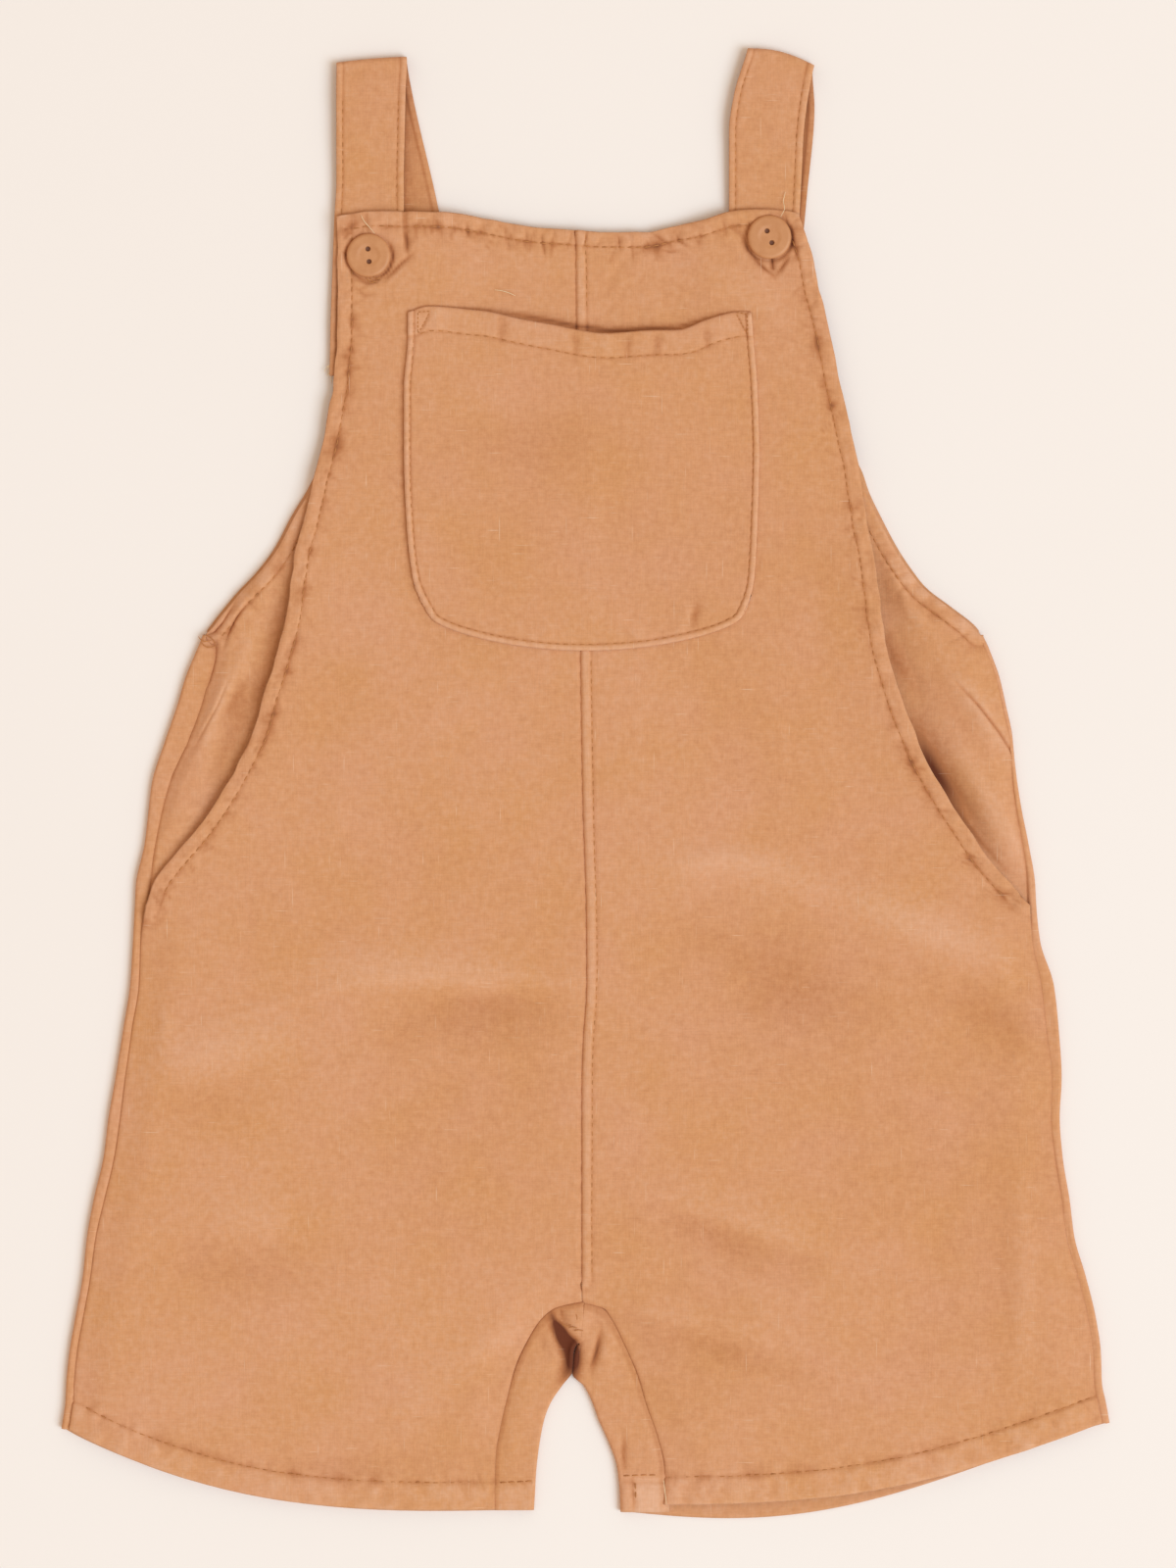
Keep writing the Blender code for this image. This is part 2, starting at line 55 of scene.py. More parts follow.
centreSeam = np.array([
    (215, 587), (333, 588), (660, 592), (818, 594.5), (930, 598), (1005, 598.5), (1060, 595), (1110, 593.5),
    (1310, 593.5), (1327, 594)], float)
inseamLeft = np.array([
    (1327, 594), (1330, 580), (1334, 566), (1344, 553), (1367, 538), (1393, 526), (1423, 518), (1453, 511),
    (1483, 506), (1512, 505), (1539, 505)], float)
inseamRight = np.array([
    (1327, 594), (1331, 606), (1334, 616), (1345, 624), (1371, 637), (1403, 651), (1431, 659), (1466, 671),
    (1497, 678), (1516, 678), (1534, 677)], float)
freeEdgeLeft = np.array([
    (219, 344), (262, 345), (333, 345), (381, 342), (440, 333), (486, 322), (534, 310), (567, 302),
    (615, 295), (660, 286), (703, 272), (755, 256), (785, 241), (814, 224), (845, 203), (873, 178),
    (902, 157), (922, 151)], float)
freeEdgeRight = np.array([
    (219, 814), (236, 820), (262, 828), (300, 836), (336, 845), (382, 854), (436, 866), (486, 877),
    (534, 884), (567, 890), (615, 897), (657, 902), (697, 914), (752, 934), (783, 948), (814, 966),
    (846, 987), (878, 1009), (904, 1033), (922, 1047)], float)
bibTop = np.array([
    (344, 222), (362, 219), (376, 217), (453, 218), (499, 225), (545, 233), (587, 236), (613, 238),
    (660, 238), (683, 233), (717, 226), (747, 217), (774, 215), (800, 216), (814, 219)], float)
# Side folds and side seams: down, fold across, seam across
sideLeft = np.array([
    (648, 207, 208), (654, 205, 213), (661, 202, 218), (668, 199, 219), (690, 190, 214), (720, 181, 206),
    (755, 169, 193), (800, 155, 173), (825, 152, 166), (860, 148, 159), (902, 139, 153), (922, 138, 150),
    (960, 136, 144), (1005, 133, 142), (1050, 126, 135), (1100, 118, 128), (1140, 111, 123),
    (1180, 106, 117), (1223, 96, 107), (1262, 89, 98), (1300, 85, 93), (1345, 77, 85), (1380, 71, 79),
    (1410, 68, 76), (1430, 67, 75), (1457, 63, 71)], float)
sideRight = np.array([
    (650, 1003, 1002), (658, 1007, 1006), (668, 1011, 1010), (690, 1019, 1018), (720, 1026, 1025),
    (755, 1033, 1032), (775, 1035, 1033), (800, 1038, 1034), (825, 1042, 1037), (860, 1049, 1043),
    (902, 1056, 1049), (922, 1057, 1050), (960, 1061, 1053), (1005, 1075, 1062), (1050, 1080, 1067),
    (1100, 1083, 1073), (1140, 1081, 1072), (1180, 1084, 1076), (1223, 1091, 1083), (1262, 1096, 1088),
    (1300, 1107, 1099), (1345, 1118, 1110), (1380, 1123, 1115), (1410, 1124, 1116), (1430, 1128, 1120),
    (1452, 1132, 1124)], float)
armholeLeft = np.array([
    (402, 408), (425, 386), (450, 358), (478, 326), (503, 312), (526, 298), (560, 280), (584, 262),
    (604, 243), (628, 223), (652, 205)], float)
armholeRight = np.array([
    (402, 808), (425, 830), (450, 856), (478, 878), (503, 887), (526, 898), (560, 916), (584, 932),
    (600, 945), (620, 971), (640, 996), (650, 1003)], float)
# Inner leg: fold across, fold down, seam across, seam down
legLeft = np.array([
    (600, 1369, 602, 1331), (591, 1370.5, 596, 1330), (586, 1378, 582, 1332), (584.5, 1398, 567, 1336),
    (574, 1413, 554, 1346), (562.5, 1430, 540, 1368), (556, 1446, 528, 1394), (552, 1464, 519, 1424),
    (549, 1484, 512, 1454), (547, 1504, 507, 1484), (546, 1523, 506, 1513), (545, 1540, 506, 1540)], float)
legRight = np.array([
    (589, 1371, 596, 1331), (586, 1380, 601, 1332), (584.8, 1391, 606, 1333), (584.2, 1402, 616, 1337),
    (596, 1414, 624, 1347), (605, 1432, 637, 1372), (611, 1449, 650, 1404), (617, 1462, 659, 1432),
    (623, 1476, 671, 1467), (629, 1494, 677, 1498), (632, 1517, 677, 1517), (633, 1542, 677, 1542)], float)


def ease(value, start, end):
    # 3 s^2 - 2 s^3, with s the share of the way from start to end, held to 0..1
    share = np.clip((value - start) / (end - start), 0.0, 1.0)
    return share * share * (3.0 - 2.0 * share)


def bell(value, halfWidth):
    # e to the minus (value / half width) squared
    return np.exp(-(value / halfWidth) ** 2)


def curveAt(knots, values, where):
    # Cubic through the knots; each knot's slope is the harmonic mean of the slopes beside it, so that the
    # curve never overshoots
    knots = np.asarray(knots, float)
    values = np.asarray(values, float)
    where = np.clip(where, knots[0], knots[-1])
    steps = np.diff(knots)
    rises = np.diff(values) / steps
    before = rises[:-1]
    after = rises[1:]
    together = before * after > 0.0
    slopes = np.zeros(len(knots))
    slopes[0] = rises[0]
    slopes[-1] = rises[-1]
    both = np.where(together, before + after, 1.0)
    slopes[1:-1] = np.where(together, 2.0 * before * after / both, 0.0)
    index = np.clip(np.searchsorted(knots, where, side="right") - 1, 0, len(steps) - 1)
    share = (where - knots[index]) / steps[index]
    square = share * share
    cube = square * share
    bend = slopes[index] * (cube - 2.0 * square + share) + slopes[index + 1] * (cube - square)
    return (
        values[index] * (2.0 * cube - 3.0 * square + 1.0)
        + values[index + 1] * (3.0 * square - 2.0 * cube)
        + steps[index] * bend)


def edgeAt(table, down, column=1):
    # How far across a table's line lies at these places down
    return curveAt(table[:, 0], table[:, column], down)


def softNoise(u, v, size, seed):
    # Random heights from -1 to 1 on a square lattice of this size, eased from corner to corner
    lattice = np.random.default_rng(seed).uniform(-1.0, 1.0, (64, 64))
    u, v = np.broadcast_arrays(np.asarray(u, float), np.asarray(v, float))
    x = u / size + 640.3
    y = v / size + 640.7
    column = np.floor(x).astype(int)
    line = np.floor(y).astype(int)
    shareX = ease(x - column, 0.0, 1.0)
    shareY = ease(y - line, 0.0, 1.0)
    near, far = [
        lattice[column % 64, row % 64] * (1.0 - shareX) + lattice[(column + 1) % 64, row % 64] * shareX
        for row in (line, line + 1)]
    return near * (1.0 - shareY) + far * shareY


def routeLength(route):
    # Sum of the straight steps, in mm
    steps = np.diff(route, axis=0)
    return np.hypot(steps[:, 0], steps[:, 1]).sum() / unitsPerMm


def nearLine(across, down, route):
    # Least distance in mm to the segments of a route, and the length of route up to that nearest point
    across, down = np.broadcast_arrays(np.asarray(across, float), np.asarray(down, float))
    bestOff = np.full(across.shape, 1e9)
    bestAlong = np.zeros(across.shape)
    travelled = 0.0
    for start, end in zip(route[:-1], route[1:]):
        run = end - start
        length = math.hypot(run[0], run[1])
        share = ((across - start[0]) * run[0] + (down - start[1]) * run[1]) / length ** 2
        share = np.clip(share, 0.0, 1.0)
        off = np.hypot(across - start[0] - share * run[0], down - start[1] - share * run[1])
        closer = off < bestOff
        bestOff = np.where(closer, off, bestOff)
        bestAlong = np.where(closer, travelled + share * length, bestAlong)
        travelled += length
    return bestOff / unitsPerMm, bestAlong / unitsPerMm


def offsetRoute(route, distance, seed):
    # Each point moved along the route's left-hand normal by a distance in mm that wanders a little
    tangent = np.gradient(route, axis=0)
    tangent = tangent / np.hypot(tangent[:, 0], tangent[:, 1])[:, None]
    normal = np.stack([tangent[:, 1], -tangent[:, 0]], axis=-1)
    wander = softNoise(np.arange(len(route)) * 4.0, 0.0, 11.0, seed)[:, None] * 0.22
    return route + normal * (distance + np.sign(distance) * wander) * unitsPerMm


def creaseHeight(across, down, creases):
    # Sum of height x bell(distance / half width), each crease fading towards its two ends
    total = np.zeros(np.broadcast(across, down).shape)
    for halfWidth, height, *points in creases:
        route = np.array(points, float).reshape(-1, 2)
        off, along = nearLine(across, down, route)
        fade = np.sin(math.pi * np.clip(along / routeLength(route), 0.02, 0.98)) ** 0.6
        total = total + height * fade * bell(off, halfWidth)
    return total


def clothRipple(across, down, seed, strength=1.0):
    # Four sizes of soft noise, each turned from the last: loose swells down to the crumple of washed linen
    total = np.zeros(np.broadcast(across, down).shape)
    for size, height, turn in ((46.0, 0.34, 0.3), (19.0, 0.15, 1.1), (8.0, 0.06, 2.0), (3.6, 0.025, 0.7)):
        u = (across * math.cos(turn) + down * math.sin(turn)) / unitsPerMm
        v = (down * math.cos(turn) - across * math.sin(turn)) / unitsPerMm
        total = total + height * softNoise(u, v, size, seed + int(size))
    return total * strength


hemSewing = {
    "openBand": 4.8, "topBand": 5.0, "legBand": 9.3, "armholeBand": 4.6,   # mm, edge to stitches
    "raise": 0.34, "groove": 0.42, "pinch": 0.70, "puff": 0.52, "edge": 0.40,   # mm, its parts' heights
    "bandDye": 0.26, "puffWearAndShade": 1.1, "grooveDye": 0.8, "pinchDyeAndShade": 0.75, "stainDye": 1.1,
    "nearest": 1.8, "farthest": 6.4,                                       # mm, between two pinches
    # Least and most of a pinch's slant, depth, width, reach into the panel, start as a share of the band
    "least": (-0.75, 0.15, 0.35, 0.3, 0.0), "most": (0.75, 1.0, 0.8, 5.5, 0.7),
}


def hemRelief(off, along, band, seed, strength=1.0, spacing=1.0, sewn=1.0):
    # Height and colour of a turned hem: a raised band with a rounded edge, a stitch groove on its inner side
    # and pinches, narrow slanting troughs at uneven steps that cross the band and die out in the panel,
    # with puffs between them. Groove and stains keep more dye and the band rubs paler; pinches are darker
    # and puffs paler where raised, partly dye and wash wear, partly painted shade and painted light; sewn
    # ends a row at a corner
    random = np.random.default_rng(seed)
    count = int(along.max() / (hemSewing["nearest"] * spacing)) + 1
    spots = np.cumsum(random.uniform(hemSewing["nearest"], hemSewing["farthest"], count) * spacing)
    inBand = 1.0 - ease(off, band - 1.0, band + 0.5)
    close = off < band + 9.0
    nearOff = off[close]
    nearAlong = along[close]
    pinches = np.zeros(nearOff.shape)
    for spot in spots:
        slant, depth, width, reach, start = random.uniform(hemSewing["least"], hemSewing["most"])
        line = nearAlong + slant * (nearOff - band) - spot
        window = 1.0 - ease(nearOff, band + reach - 1.2, band + reach + 1.2)
        window = window * ease(nearOff, start * band - 0.8, start * band + 1.0)
        pinches = pinches + depth * bell(line, width) * window
    pinch = np.zeros(off.shape)
    pinch[close] = np.clip(pinches, 0.0, 0.75) * strength
    puff = softNoise(along, off * 0.8, 3.4, seed + 1) * (1.0 - ease(off, band, band + 5.0))
    puff = hemSewing["puff"] * strength * puff
    stain = np.maximum(softNoise(along, off * 0.6, 5.2, seed + 3), 0.0) * bell(off - band, 2.4)
    edge = -hemSewing["edge"] * (1.0 - ease(off, 0.0, 1.1))
    groove = sewn * bell(off - band, 0.62) * (0.75 + 0.25 * softNoise(along, 0.0, 3.0, seed + 2))
    height = hemSewing["raise"] * inBand + edge - hemSewing["groove"] * groove
    height = height - hemSewing["pinch"] * pinch + puff
    # Pinches darker and puffs paler where raised: partly dye and wash wear, partly painted shade and light
    dyeAndShade = hemSewing["bandDye"] * inBand + hemSewing["puffWearAndShade"] * puff - hemSewing["grooveDye"] * groove
    dyeAndShade = dyeAndShade - hemSewing["pinchDyeAndShade"] * pinch - hemSewing["stainDye"] * stain
    return height, dyeAndShade


def place(across, down, level):
    # Thirds of a millimetre across and down, and a level in mm, to metres
    across, down, level = np.broadcast_arrays(
        np.asarray(across, float), np.asarray(down, float), np.asarray(level, float))
    x = (across - centreAcross) / unitsPerMm
    y = (centreDown - down) / unitsPerMm
    return np.stack([x, y, level], axis=-1) * 0.001


def linear(hexColour):
    # sRGB to linear light: c / 12.92 below 0.04045, ((c + 0.055) / 1.055) to the 2.4 above
    parts = [int(hexColour[i:i + 2], 16) / 255.0 for i in (1, 3, 5)]
    return tuple(c / 12.92 if c <= 0.04045 else ((c + 0.055) / 1.055) ** 2.4 for c in parts) + (1.0,)


def addNode(tree, kind, settings=None, inputs=None):
    # One node with its settings; an input takes a value, or a socket that is then linked
    node = tree.nodes.new(kind)
    for name, value in (settings or {}).items():
        setattr(node, name, value)
    for name, value in (inputs or {}).items():
        if isinstance(value, bpy.types.NodeSocket):
            tree.links.new(value, node.inputs[name])
        else:
            node.inputs[name].default_value = value
    return node


def startMaterial(name, roughness):
    # A shader on its output, and the object's own coordinates in metres
    material = bpy.data.materials.new(name)
    material.use_nodes = True
    tree = material.node_tree
    tree.nodes.clear()
    shader = addNode(tree, "ShaderNodeBsdfPrincipled", inputs={"Roughness": roughness})
    output = addNode(tree, "ShaderNodeOutputMaterial")
    tree.links.new(shader.outputs["BSDF"], output.inputs["Surface"])
    return material, tree, shader, addNode(tree, "ShaderNodeTexCoord").outputs["Object"]


def mapped(tree, vector, scale=(1.0, 1.0, 1.0), shift=(0.0, 0.0, 0.0)):
    # Vector x scale + shift
    inputs = {"Vector": vector, "Scale": scale, "Location": shift}
    return addNode(tree, "ShaderNodeMapping", inputs=inputs).outputs["Vector"]


def noise(tree, vector, scale, detail, roughness=0.5):
    # Cloudy noise around a half, with this many patches to the metre
    inputs = {"Vector": vector, "Scale": scale, "Detail": detail, "Roughness": roughness}
    return addNode(tree, "ShaderNodeTexNoise", inputs=inputs).outputs["Fac"]


def ramp(tree, value, start, end, low=0.0, high=1.0):
    # From low at start to high at end in a straight line, held beyond both
    inputs = {"Value": value, "From Min": start, "From Max": end, "To Min": low, "To Max": high}
    return addNode(tree, "ShaderNodeMapRange", inputs=inputs).outputs["Result"]


def maths(tree, operation, *values):
    # One operation on numbers or sockets
    return addNode(tree, "ShaderNodeMath", {"operation": operation}, dict(enumerate(values))).outputs[0]


def mixColour(tree, share, first, second):
    # First x (1 - share) + second x share
    return addNode(tree, "ShaderNodeMix", {"data_type": "RGBA"}, {0: share, 6: first, 7: second}).outputs[2]


def toned(tree, colour, value):
    # Colour x value
    return addNode(tree, "ShaderNodeHueSaturation", inputs={"Color": colour, "Value": value}).outputs["Color"]


def addBump(tree, shader, height, strength, distance):
    # The surface looks raised by height x distance in metres
    inputs = {"Strength": strength, "Distance": distance, "Height": height}
    bump = addNode(tree, "ShaderNodeBump", inputs=inputs)
    tree.links.new(bump.outputs["Normal"], shader.inputs["Normal"])


linenCotton = {
    # pale and deep stand partly for wash wear and dye and partly for painted light and shade; hollow is
    # painted shade in the deepest creases
    "camel": "#CF9261", "rose": "#D2966E", "pale": "#E2B292", "deep": "#AF6B3E", "hollow": "#622B14",
    "slub": "#E9CBAE",
    "threadSpacing": 0.0006,   # m; the real 0.45 mm is too fine to show, so it is drawn coarser
    "yarnLength": 0.006,       # m, the length over which one yarn stays thick or thin
    "mottle": 0.032,           # m, size of the cloudy patches that garment dyeing leaves
    "wearAndShadeReach": 1.1, "wearAndShadeShare": 0.8,   # wear and painted shade at which the pale and the deep colour are full, and their share
    "hollowShadeFrom": -1.0, "hollowShadeTo": -2.6, "hollowShadeShare": 0.96,   # the same for the painted shade of the deepest creases
    "slubShare": 0.45, "yarnTone": (0.93, 1.07), "weaveShare": 0.15,
    "bump": 0.4, "bumpDistance": 0.00016,
    "roughness": 0.88, "sheen": 0.12, "sheenRoughness": 0.5, "specular": 0.25,
}


def linenCottonMaterial(name, shift):
    # Garment-dyed linen and cotton, plain woven and washed: matt, cloudy between camel and rose, streaked
    # along both thread directions, with pale slubs and paler crests where the hems have rubbed in the wash;
    # raised parts are also painted paler as painted light, troughs darker from dye that stayed and from
    # painted shade, and the deepest creases, slots and crescents dark brown as painted shade
    look = linenCotton
    material, tree, shader, coordinates = startMaterial(name, look["roughness"])
    moved = mapped(tree, coordinates, shift=shift)
    clouds = noise(tree, moved, 1.0 / look["mottle"], 4.0, 0.6)
    blotches = noise(tree, moved, 14.0 / look["mottle"], 5.0, 0.65)
    fibre = 1.0 / (look["threadSpacing"] * 0.8)
    along = 1.0 / look["yarnLength"]
    streaks = []
    for scale in ((fibre, along, 1.0), (along, fibre, 1.0)):
        streaks.append(noise(tree, mapped(tree, moved, scale), 1.0, 2.0, 0.55))
    streak = maths(tree, "ADD", *streaks)
    slubs = []
    for scale in ((90.0, fibre * 1.15, 1.0), (fibre * 1.15, 70.0, 1.0)):
        thick = noise(tree, mapped(tree, moved, scale, (3.7, 9.1, 0.0)), 1.0, 1.0)
        slubs.append(ramp(tree, thick, 0.73, 0.80))
    slub = maths(tree, "MULTIPLY", maths(tree, "MAXIMUM", *slubs), look["slubShare"])
    # The attribute is above zero where the cloth is paler, from wash wear and painted light on raised parts,
    # and below zero where it is darker, from dye that stayed and painted shade in troughs and hollows
    wearAndShade = addNode(tree, "ShaderNodeAttribute", {"attribute_name": "wearAndShade"}).outputs["Fac"]
    wornAndShaded = maths(tree, "ADD", wearAndShade, maths(tree, "MULTIPLY_ADD", blotches, 1.5, -0.75))
    rubbedAndLit = ramp(tree, wornAndShaded, 0.0, look["wearAndShadeReach"], 0.0, look["wearAndShadeShare"])
    keptAndShaded = ramp(tree, wornAndShaded, 0.0, -look["wearAndShadeReach"], 0.0, look["wearAndShadeShare"])
    # Painted shade: the deepest creases, slots and crescents go dark brown
    sunk = ramp(tree, wearAndShade, look["hollowShadeFrom"], look["hollowShadeTo"], 0.0, look["hollowShadeShare"])
    colour = mixColour(tree, ramp(tree, clouds, 0.32, 0.68), linear(look["camel"]), linear(look["rose"]))
    for share, shade in ((rubbedAndLit, "pale"), (keptAndShaded, "deep"), (sunk, "hollow"), (slub, "slub")):
        colour = mixColour(tree, share, colour, linear(look[shade]))
    colour = toned(tree, colour, ramp(tree, streak, 0.6, 1.4, *look["yarnTone"]))
    tree.links.new(colour, shader.inputs["Base Color"])
    # The weave itself: two waves crossed, then the uneven yarns on top of them
    wave = 2.0 * math.pi / (20.0 * look["threadSpacing"])
    inputs = {"Vector": moved, "Scale": wave, "Distortion": 0.6, "Detail": 1.0, "Detail Scale": 0.4}
    crossed = []
    for direction in ("X", "Y"):
        node = addNode(tree, "ShaderNodeTexWave", {"bands_direction": direction}, inputs)
        crossed.append(node.outputs["Fac"])
    height = maths(tree, "MULTIPLY_ADD", maths(tree, "MULTIPLY", *crossed), look["weaveShare"], streak)
    addBump(tree, shader, height, look["bump"], look["bumpDistance"])
    shader.inputs["Sheen Weight"].default_value = look["sheen"]
    shader.inputs["Sheen Roughness"].default_value = look["sheenRoughness"]
    shader.inputs["Specular IOR Level"].default_value = look["specular"]
    return material


def threadMaterial(name, hexColour):
    # Spun cotton sewing thread, dyed with the garment but a touch deeper: matt, with a fine twist
    material, tree, shader, coordinates = startMaterial(name, 0.7)
    value = ramp(tree, noise(tree, coordinates, 420.0, 2.0), 0.3, 0.7, 0.82, 1.16)
    tree.links.new(toned(tree, linear(hexColour), value), shader.inputs["Base Color"])
    return material


frontCloth = linenCottonMaterial("linen_cotton_front", (0.0, 0.0, 0.0))
sideCloth = linenCottonMaterial("linen_cotton_side", (0.31, 0.17, 0.0))
backCloth = linenCottonMaterial("linen_cotton_back", (0.52, 0.44, 0.0))
pocketCloth = linenCottonMaterial("linen_cotton_pocket", (0.83, 0.29, 0.0))
strapCloth = linenCottonMaterial("linen_cotton_strap", (0.19, 0.71, 0.0))
sewingThread = threadMaterial("cotton_thread", "#B87840")
rawThread = threadMaterial("undyed_thread_end", "#E9CFA6")
print("materials: cloth, thread")


def makeMesh(name, points, faces, material, wearAndShade=None):
    # Points in metres and faces by index become one smooth object; wear and painted shade, one number a point
    mesh = bpy.data.meshes.new(name)
    mesh.from_pydata(points, [], faces)
    mesh.update()
    if wearAndShade is not None:
        attribute = mesh.attributes.new("wearAndShade", "FLOAT", "POINT")
        attribute.data.foreach_set("value", wearAndShade.astype(np.float32))
    mesh.materials.append(material)
    mesh.shade_smooth()
    piece = bpy.data.objects.new(name, mesh)
    bpy.context.scene.collection.objects.link(piece)
    return piece


def dress(piece, node):
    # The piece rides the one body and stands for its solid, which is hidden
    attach(piece, "root")
    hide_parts(node)
    return piece


def gathered(count, pull):
    # Shares from 0 to 1 drawn together at both ends: s - pull x sin(2 pi s) / (2 pi)
    even = np.linspace(0.0, 1.0, count)
    return (even - pull * np.sin(2.0 * math.pi * even) / (2.0 * math.pi))[None, :]


def between(first, last, share):
    # Row by row, first + (last - first) x share
    return first[:, None] + (last - first)[:, None] * share


def makeShell(name, grid, wearAndShade, material, shown=None, flip=False, thickness=cloth["thickness"]):
    # A grid of middle points becomes a sheet, then Solidify gives half its thickness to each side
    rows = place(*grid)
    if shown is None:
        shown = np.ones((rows.shape[0] - 1, rows.shape[1] - 1), bool)
    if flip:
        rows = rows[:, ::-1]
        wearAndShade = wearAndShade[:, ::-1]
        shown = shown[:, ::-1]
    count, width = rows.shape[:2]
    index = np.arange(count * width).reshape(count, width)
    cells = np.stack([index[:-1, :-1], index[:-1, 1:], index[1:, 1:], index[1:, :-1]], axis=-1)[shown]
    used, cells = np.unique(cells, return_inverse=True)
    points = rows.reshape(-1, 3)[used].tolist()
    sheet = makeMesh(name + "_cloth", points, cells.reshape(-1, 4).tolist(), material, wearAndShade.reshape(-1)[used])
    solidify = sheet.modifiers.new("thickness", "SOLIDIFY")
    solidify.thickness = thickness * 0.001
    solidify.offset = 0.0
    return dress(sheet, name)


# A crease is its half width and height in mm, then its route's points across and down; troughs are below zero
frontCreases = [
    (7, 0.85, 300, 984, 380, 986, 460, 990, 530, 998, 590, 1004),
    (9, -0.75, 392, 1046, 450, 1036, 520, 1030, 585, 1038), (1.6, 0.16, 450, 984, 520, 991, 588, 1001),
    (8, 0.7, 160, 1084, 225, 1068, 310, 1048), (8, -0.5, 145, 1116, 200, 1122, 262, 1116),
    (9, 0.6, 210, 1238, 255, 1238, 306, 1246), (9, -0.6, 172, 1284, 240, 1294, 312, 1290),
    (4.5, -0.55, 262, 1490, 340, 1494, 410, 1488, 455, 1476), (7, 0.65, 548, 1346, 482, 1392, 398, 1440),
    (6, -0.5, 540, 1376, 490, 1406, 436, 1424), (2.2, 0.45, 162, 1020, 170, 1042, 164, 1064),
    (7, 0.8, 665, 884, 745, 878, 800, 890, 862, 905), (1.6, 0.18, 692, 882, 760, 876, 815, 892),
    (7, 0.95, 868, 905, 950, 945, 1046, 992), (5, -0.35, 660, 940, 740, 965, 800, 975),
    (11, -0.8, 735, 990, 790, 1010, 856, 1034), (7.5, -0.85, 958, 1006, 1004, 1032, 1052, 1066),
    (5, -0.8, 660, 1236, 720, 1258, 800, 1292, 842, 1302), (8, 0.6, 664, 1212, 740, 1236, 828, 1268),
    (5.5, -0.65, 655, 1362, 730, 1372, 822, 1402), (6, 0.45, 640, 1340, 720, 1346, 800, 1370),
    (4, -0.35, 616, 1344, 650, 1358, 700, 1382), (4.5, 0.55, 1038, 1175, 1042, 1290, 1040, 1420),
    (5, -0.35, 1020, 1200, 1022, 1300, 1018, 1400), (2, -0.35, 640, 262, 626, 282, 612, 302),
    (2.4, 0.3, 655, 292, 668, 312, 672, 330), (5, 0.3, 700, 268, 760, 296, 815, 330),
    (1.8, 0.35, 668, 238, 684, 248, 706, 252),
    (1.7, 0.3, 162, 1064, 260, 1030, 387, 994, 480, 999, 583, 1004),
    (4, -0.35, 440, 1026, 520, 1020, 585, 1026), (3, 0.32, 686, 884, 742, 872, 802, 884),
    (4.2, 0.5, 790, 896, 860, 914, 920, 944, 975, 968), (9, -0.35, 760, 950, 830, 1000, 900, 1040),
    (2.8, -0.5, 640, 1226, 700, 1242, 780, 1270, 852, 1292), (2.6, -0.45, 622, 1338, 680, 1352, 770, 1386),
    (2.6, -0.3, 560, 1352, 500, 1384, 430, 1412)]

# Short sharp tucks, mostly where a button or a seam draws the cloth in
frontTucks = [
    (0.7, -1, 413, 206, 414, 236, 415, 258), (0.9, -0.9, 415, 238, 416, 249, 415, 260),
    (0.75, -0.95, 424, 259, 412, 268, 403, 277, 392, 288), (0.6, -0.4, 350, 246, 356, 240, 366, 238),
    (0.8, -0.35, 362, 294, 372, 302, 384, 300), (0.7, -0.6, 364, 286, 376, 290, 388, 286),
    (0.75, -1, 766, 262, 777, 273, 790, 284), (0.75, -1, 806, 262, 798, 273, 790, 284),
    (0.8, -0.6, 755, 234, 758, 248, 764, 262), (0.8, -0.55, 808, 268, 812, 260, 812, 250),
    (0.6, -0.4, 806, 232, 812, 226, 818, 224), (0.65, -0.7, 664, 238, 676, 246, 684, 250),
    (0.65, -0.7, 690, 240, 694, 248, 704, 254), (0.6, -0.45, 676, 256, 684, 258, 692, 256),
    (0.55, -0.7, 448, 224, 450, 246), (0.55, -0.8, 476, 226, 478, 244), (0.55, -0.75, 516, 232, 519, 256),
    (0.5, -0.6, 538, 236, 536, 254), (0.6, -0.75, 552, 240, 556, 262), (0.5, -0.6, 630, 240, 634, 258),
    (0.55, -0.65, 716, 234, 712, 252), (0.55, -0.6, 738, 224, 740, 244),
    (0.7, -0.6, 1036, 906, 1044, 900, 1052, 902), (0.7, -0.6, 1034, 922, 1046, 914, 1056, 914),
    (0.6, -0.25, 154, 908, 162, 918, 160, 930)]


# Painted shadow on the bib above the pocket's mouth and beside its left edge, each also a shallow trough
pocketShadow = [
    (0.9, -0.95, 440, 316, 487, 316, 536, 323, 567, 329, 591, 334, 623, 338, 654, 337, 693, 334, 721, 325,
     752, 317),
    (2.2, -0.45, 520, 322, 567, 330, 623, 339, 693, 335, 738, 320),
    (0.9, -0.4, 414, 330, 410, 397, 410, 463, 413, 540, 419, 596, 436, 634)]


def frontBase(across, down):
    # Level of the front before its hems, a sag between the straps, a settled leg, creases and ripple; and the
    # colour: ridges paler, troughs and tucks darker, partly dye that the wash rubs off the ridges and leaves
    # in the troughs, partly painted light on the ridges and painted shade in the troughs and tucks
    sag = ease(across, 430, 500) * (1.0 - ease(across, 680, 735)) * (1.0 - ease(down, 300, 400))
    settle = ease(down, 1420, 1535)
    level = cloth["frontLevel"] - frontPanels["sag"] * sag - frontPanels["settle"] * settle
    creases = creaseHeight(across, down, frontCreases)
    ripple = clothRipple(across, down, 3)
    tucks = creaseHeight(across, down, frontTucks)
    dyeAndShade = frontPanels["creaseDyeAndShade"] * creases + frontPanels["rippleDyeAndShade"] * ripple
    dyeAndShade = dyeAndShade + frontPanels["tuckDyeAndShade"] * tucks
    return level + creases + ripple + tucks, dyeAndShade


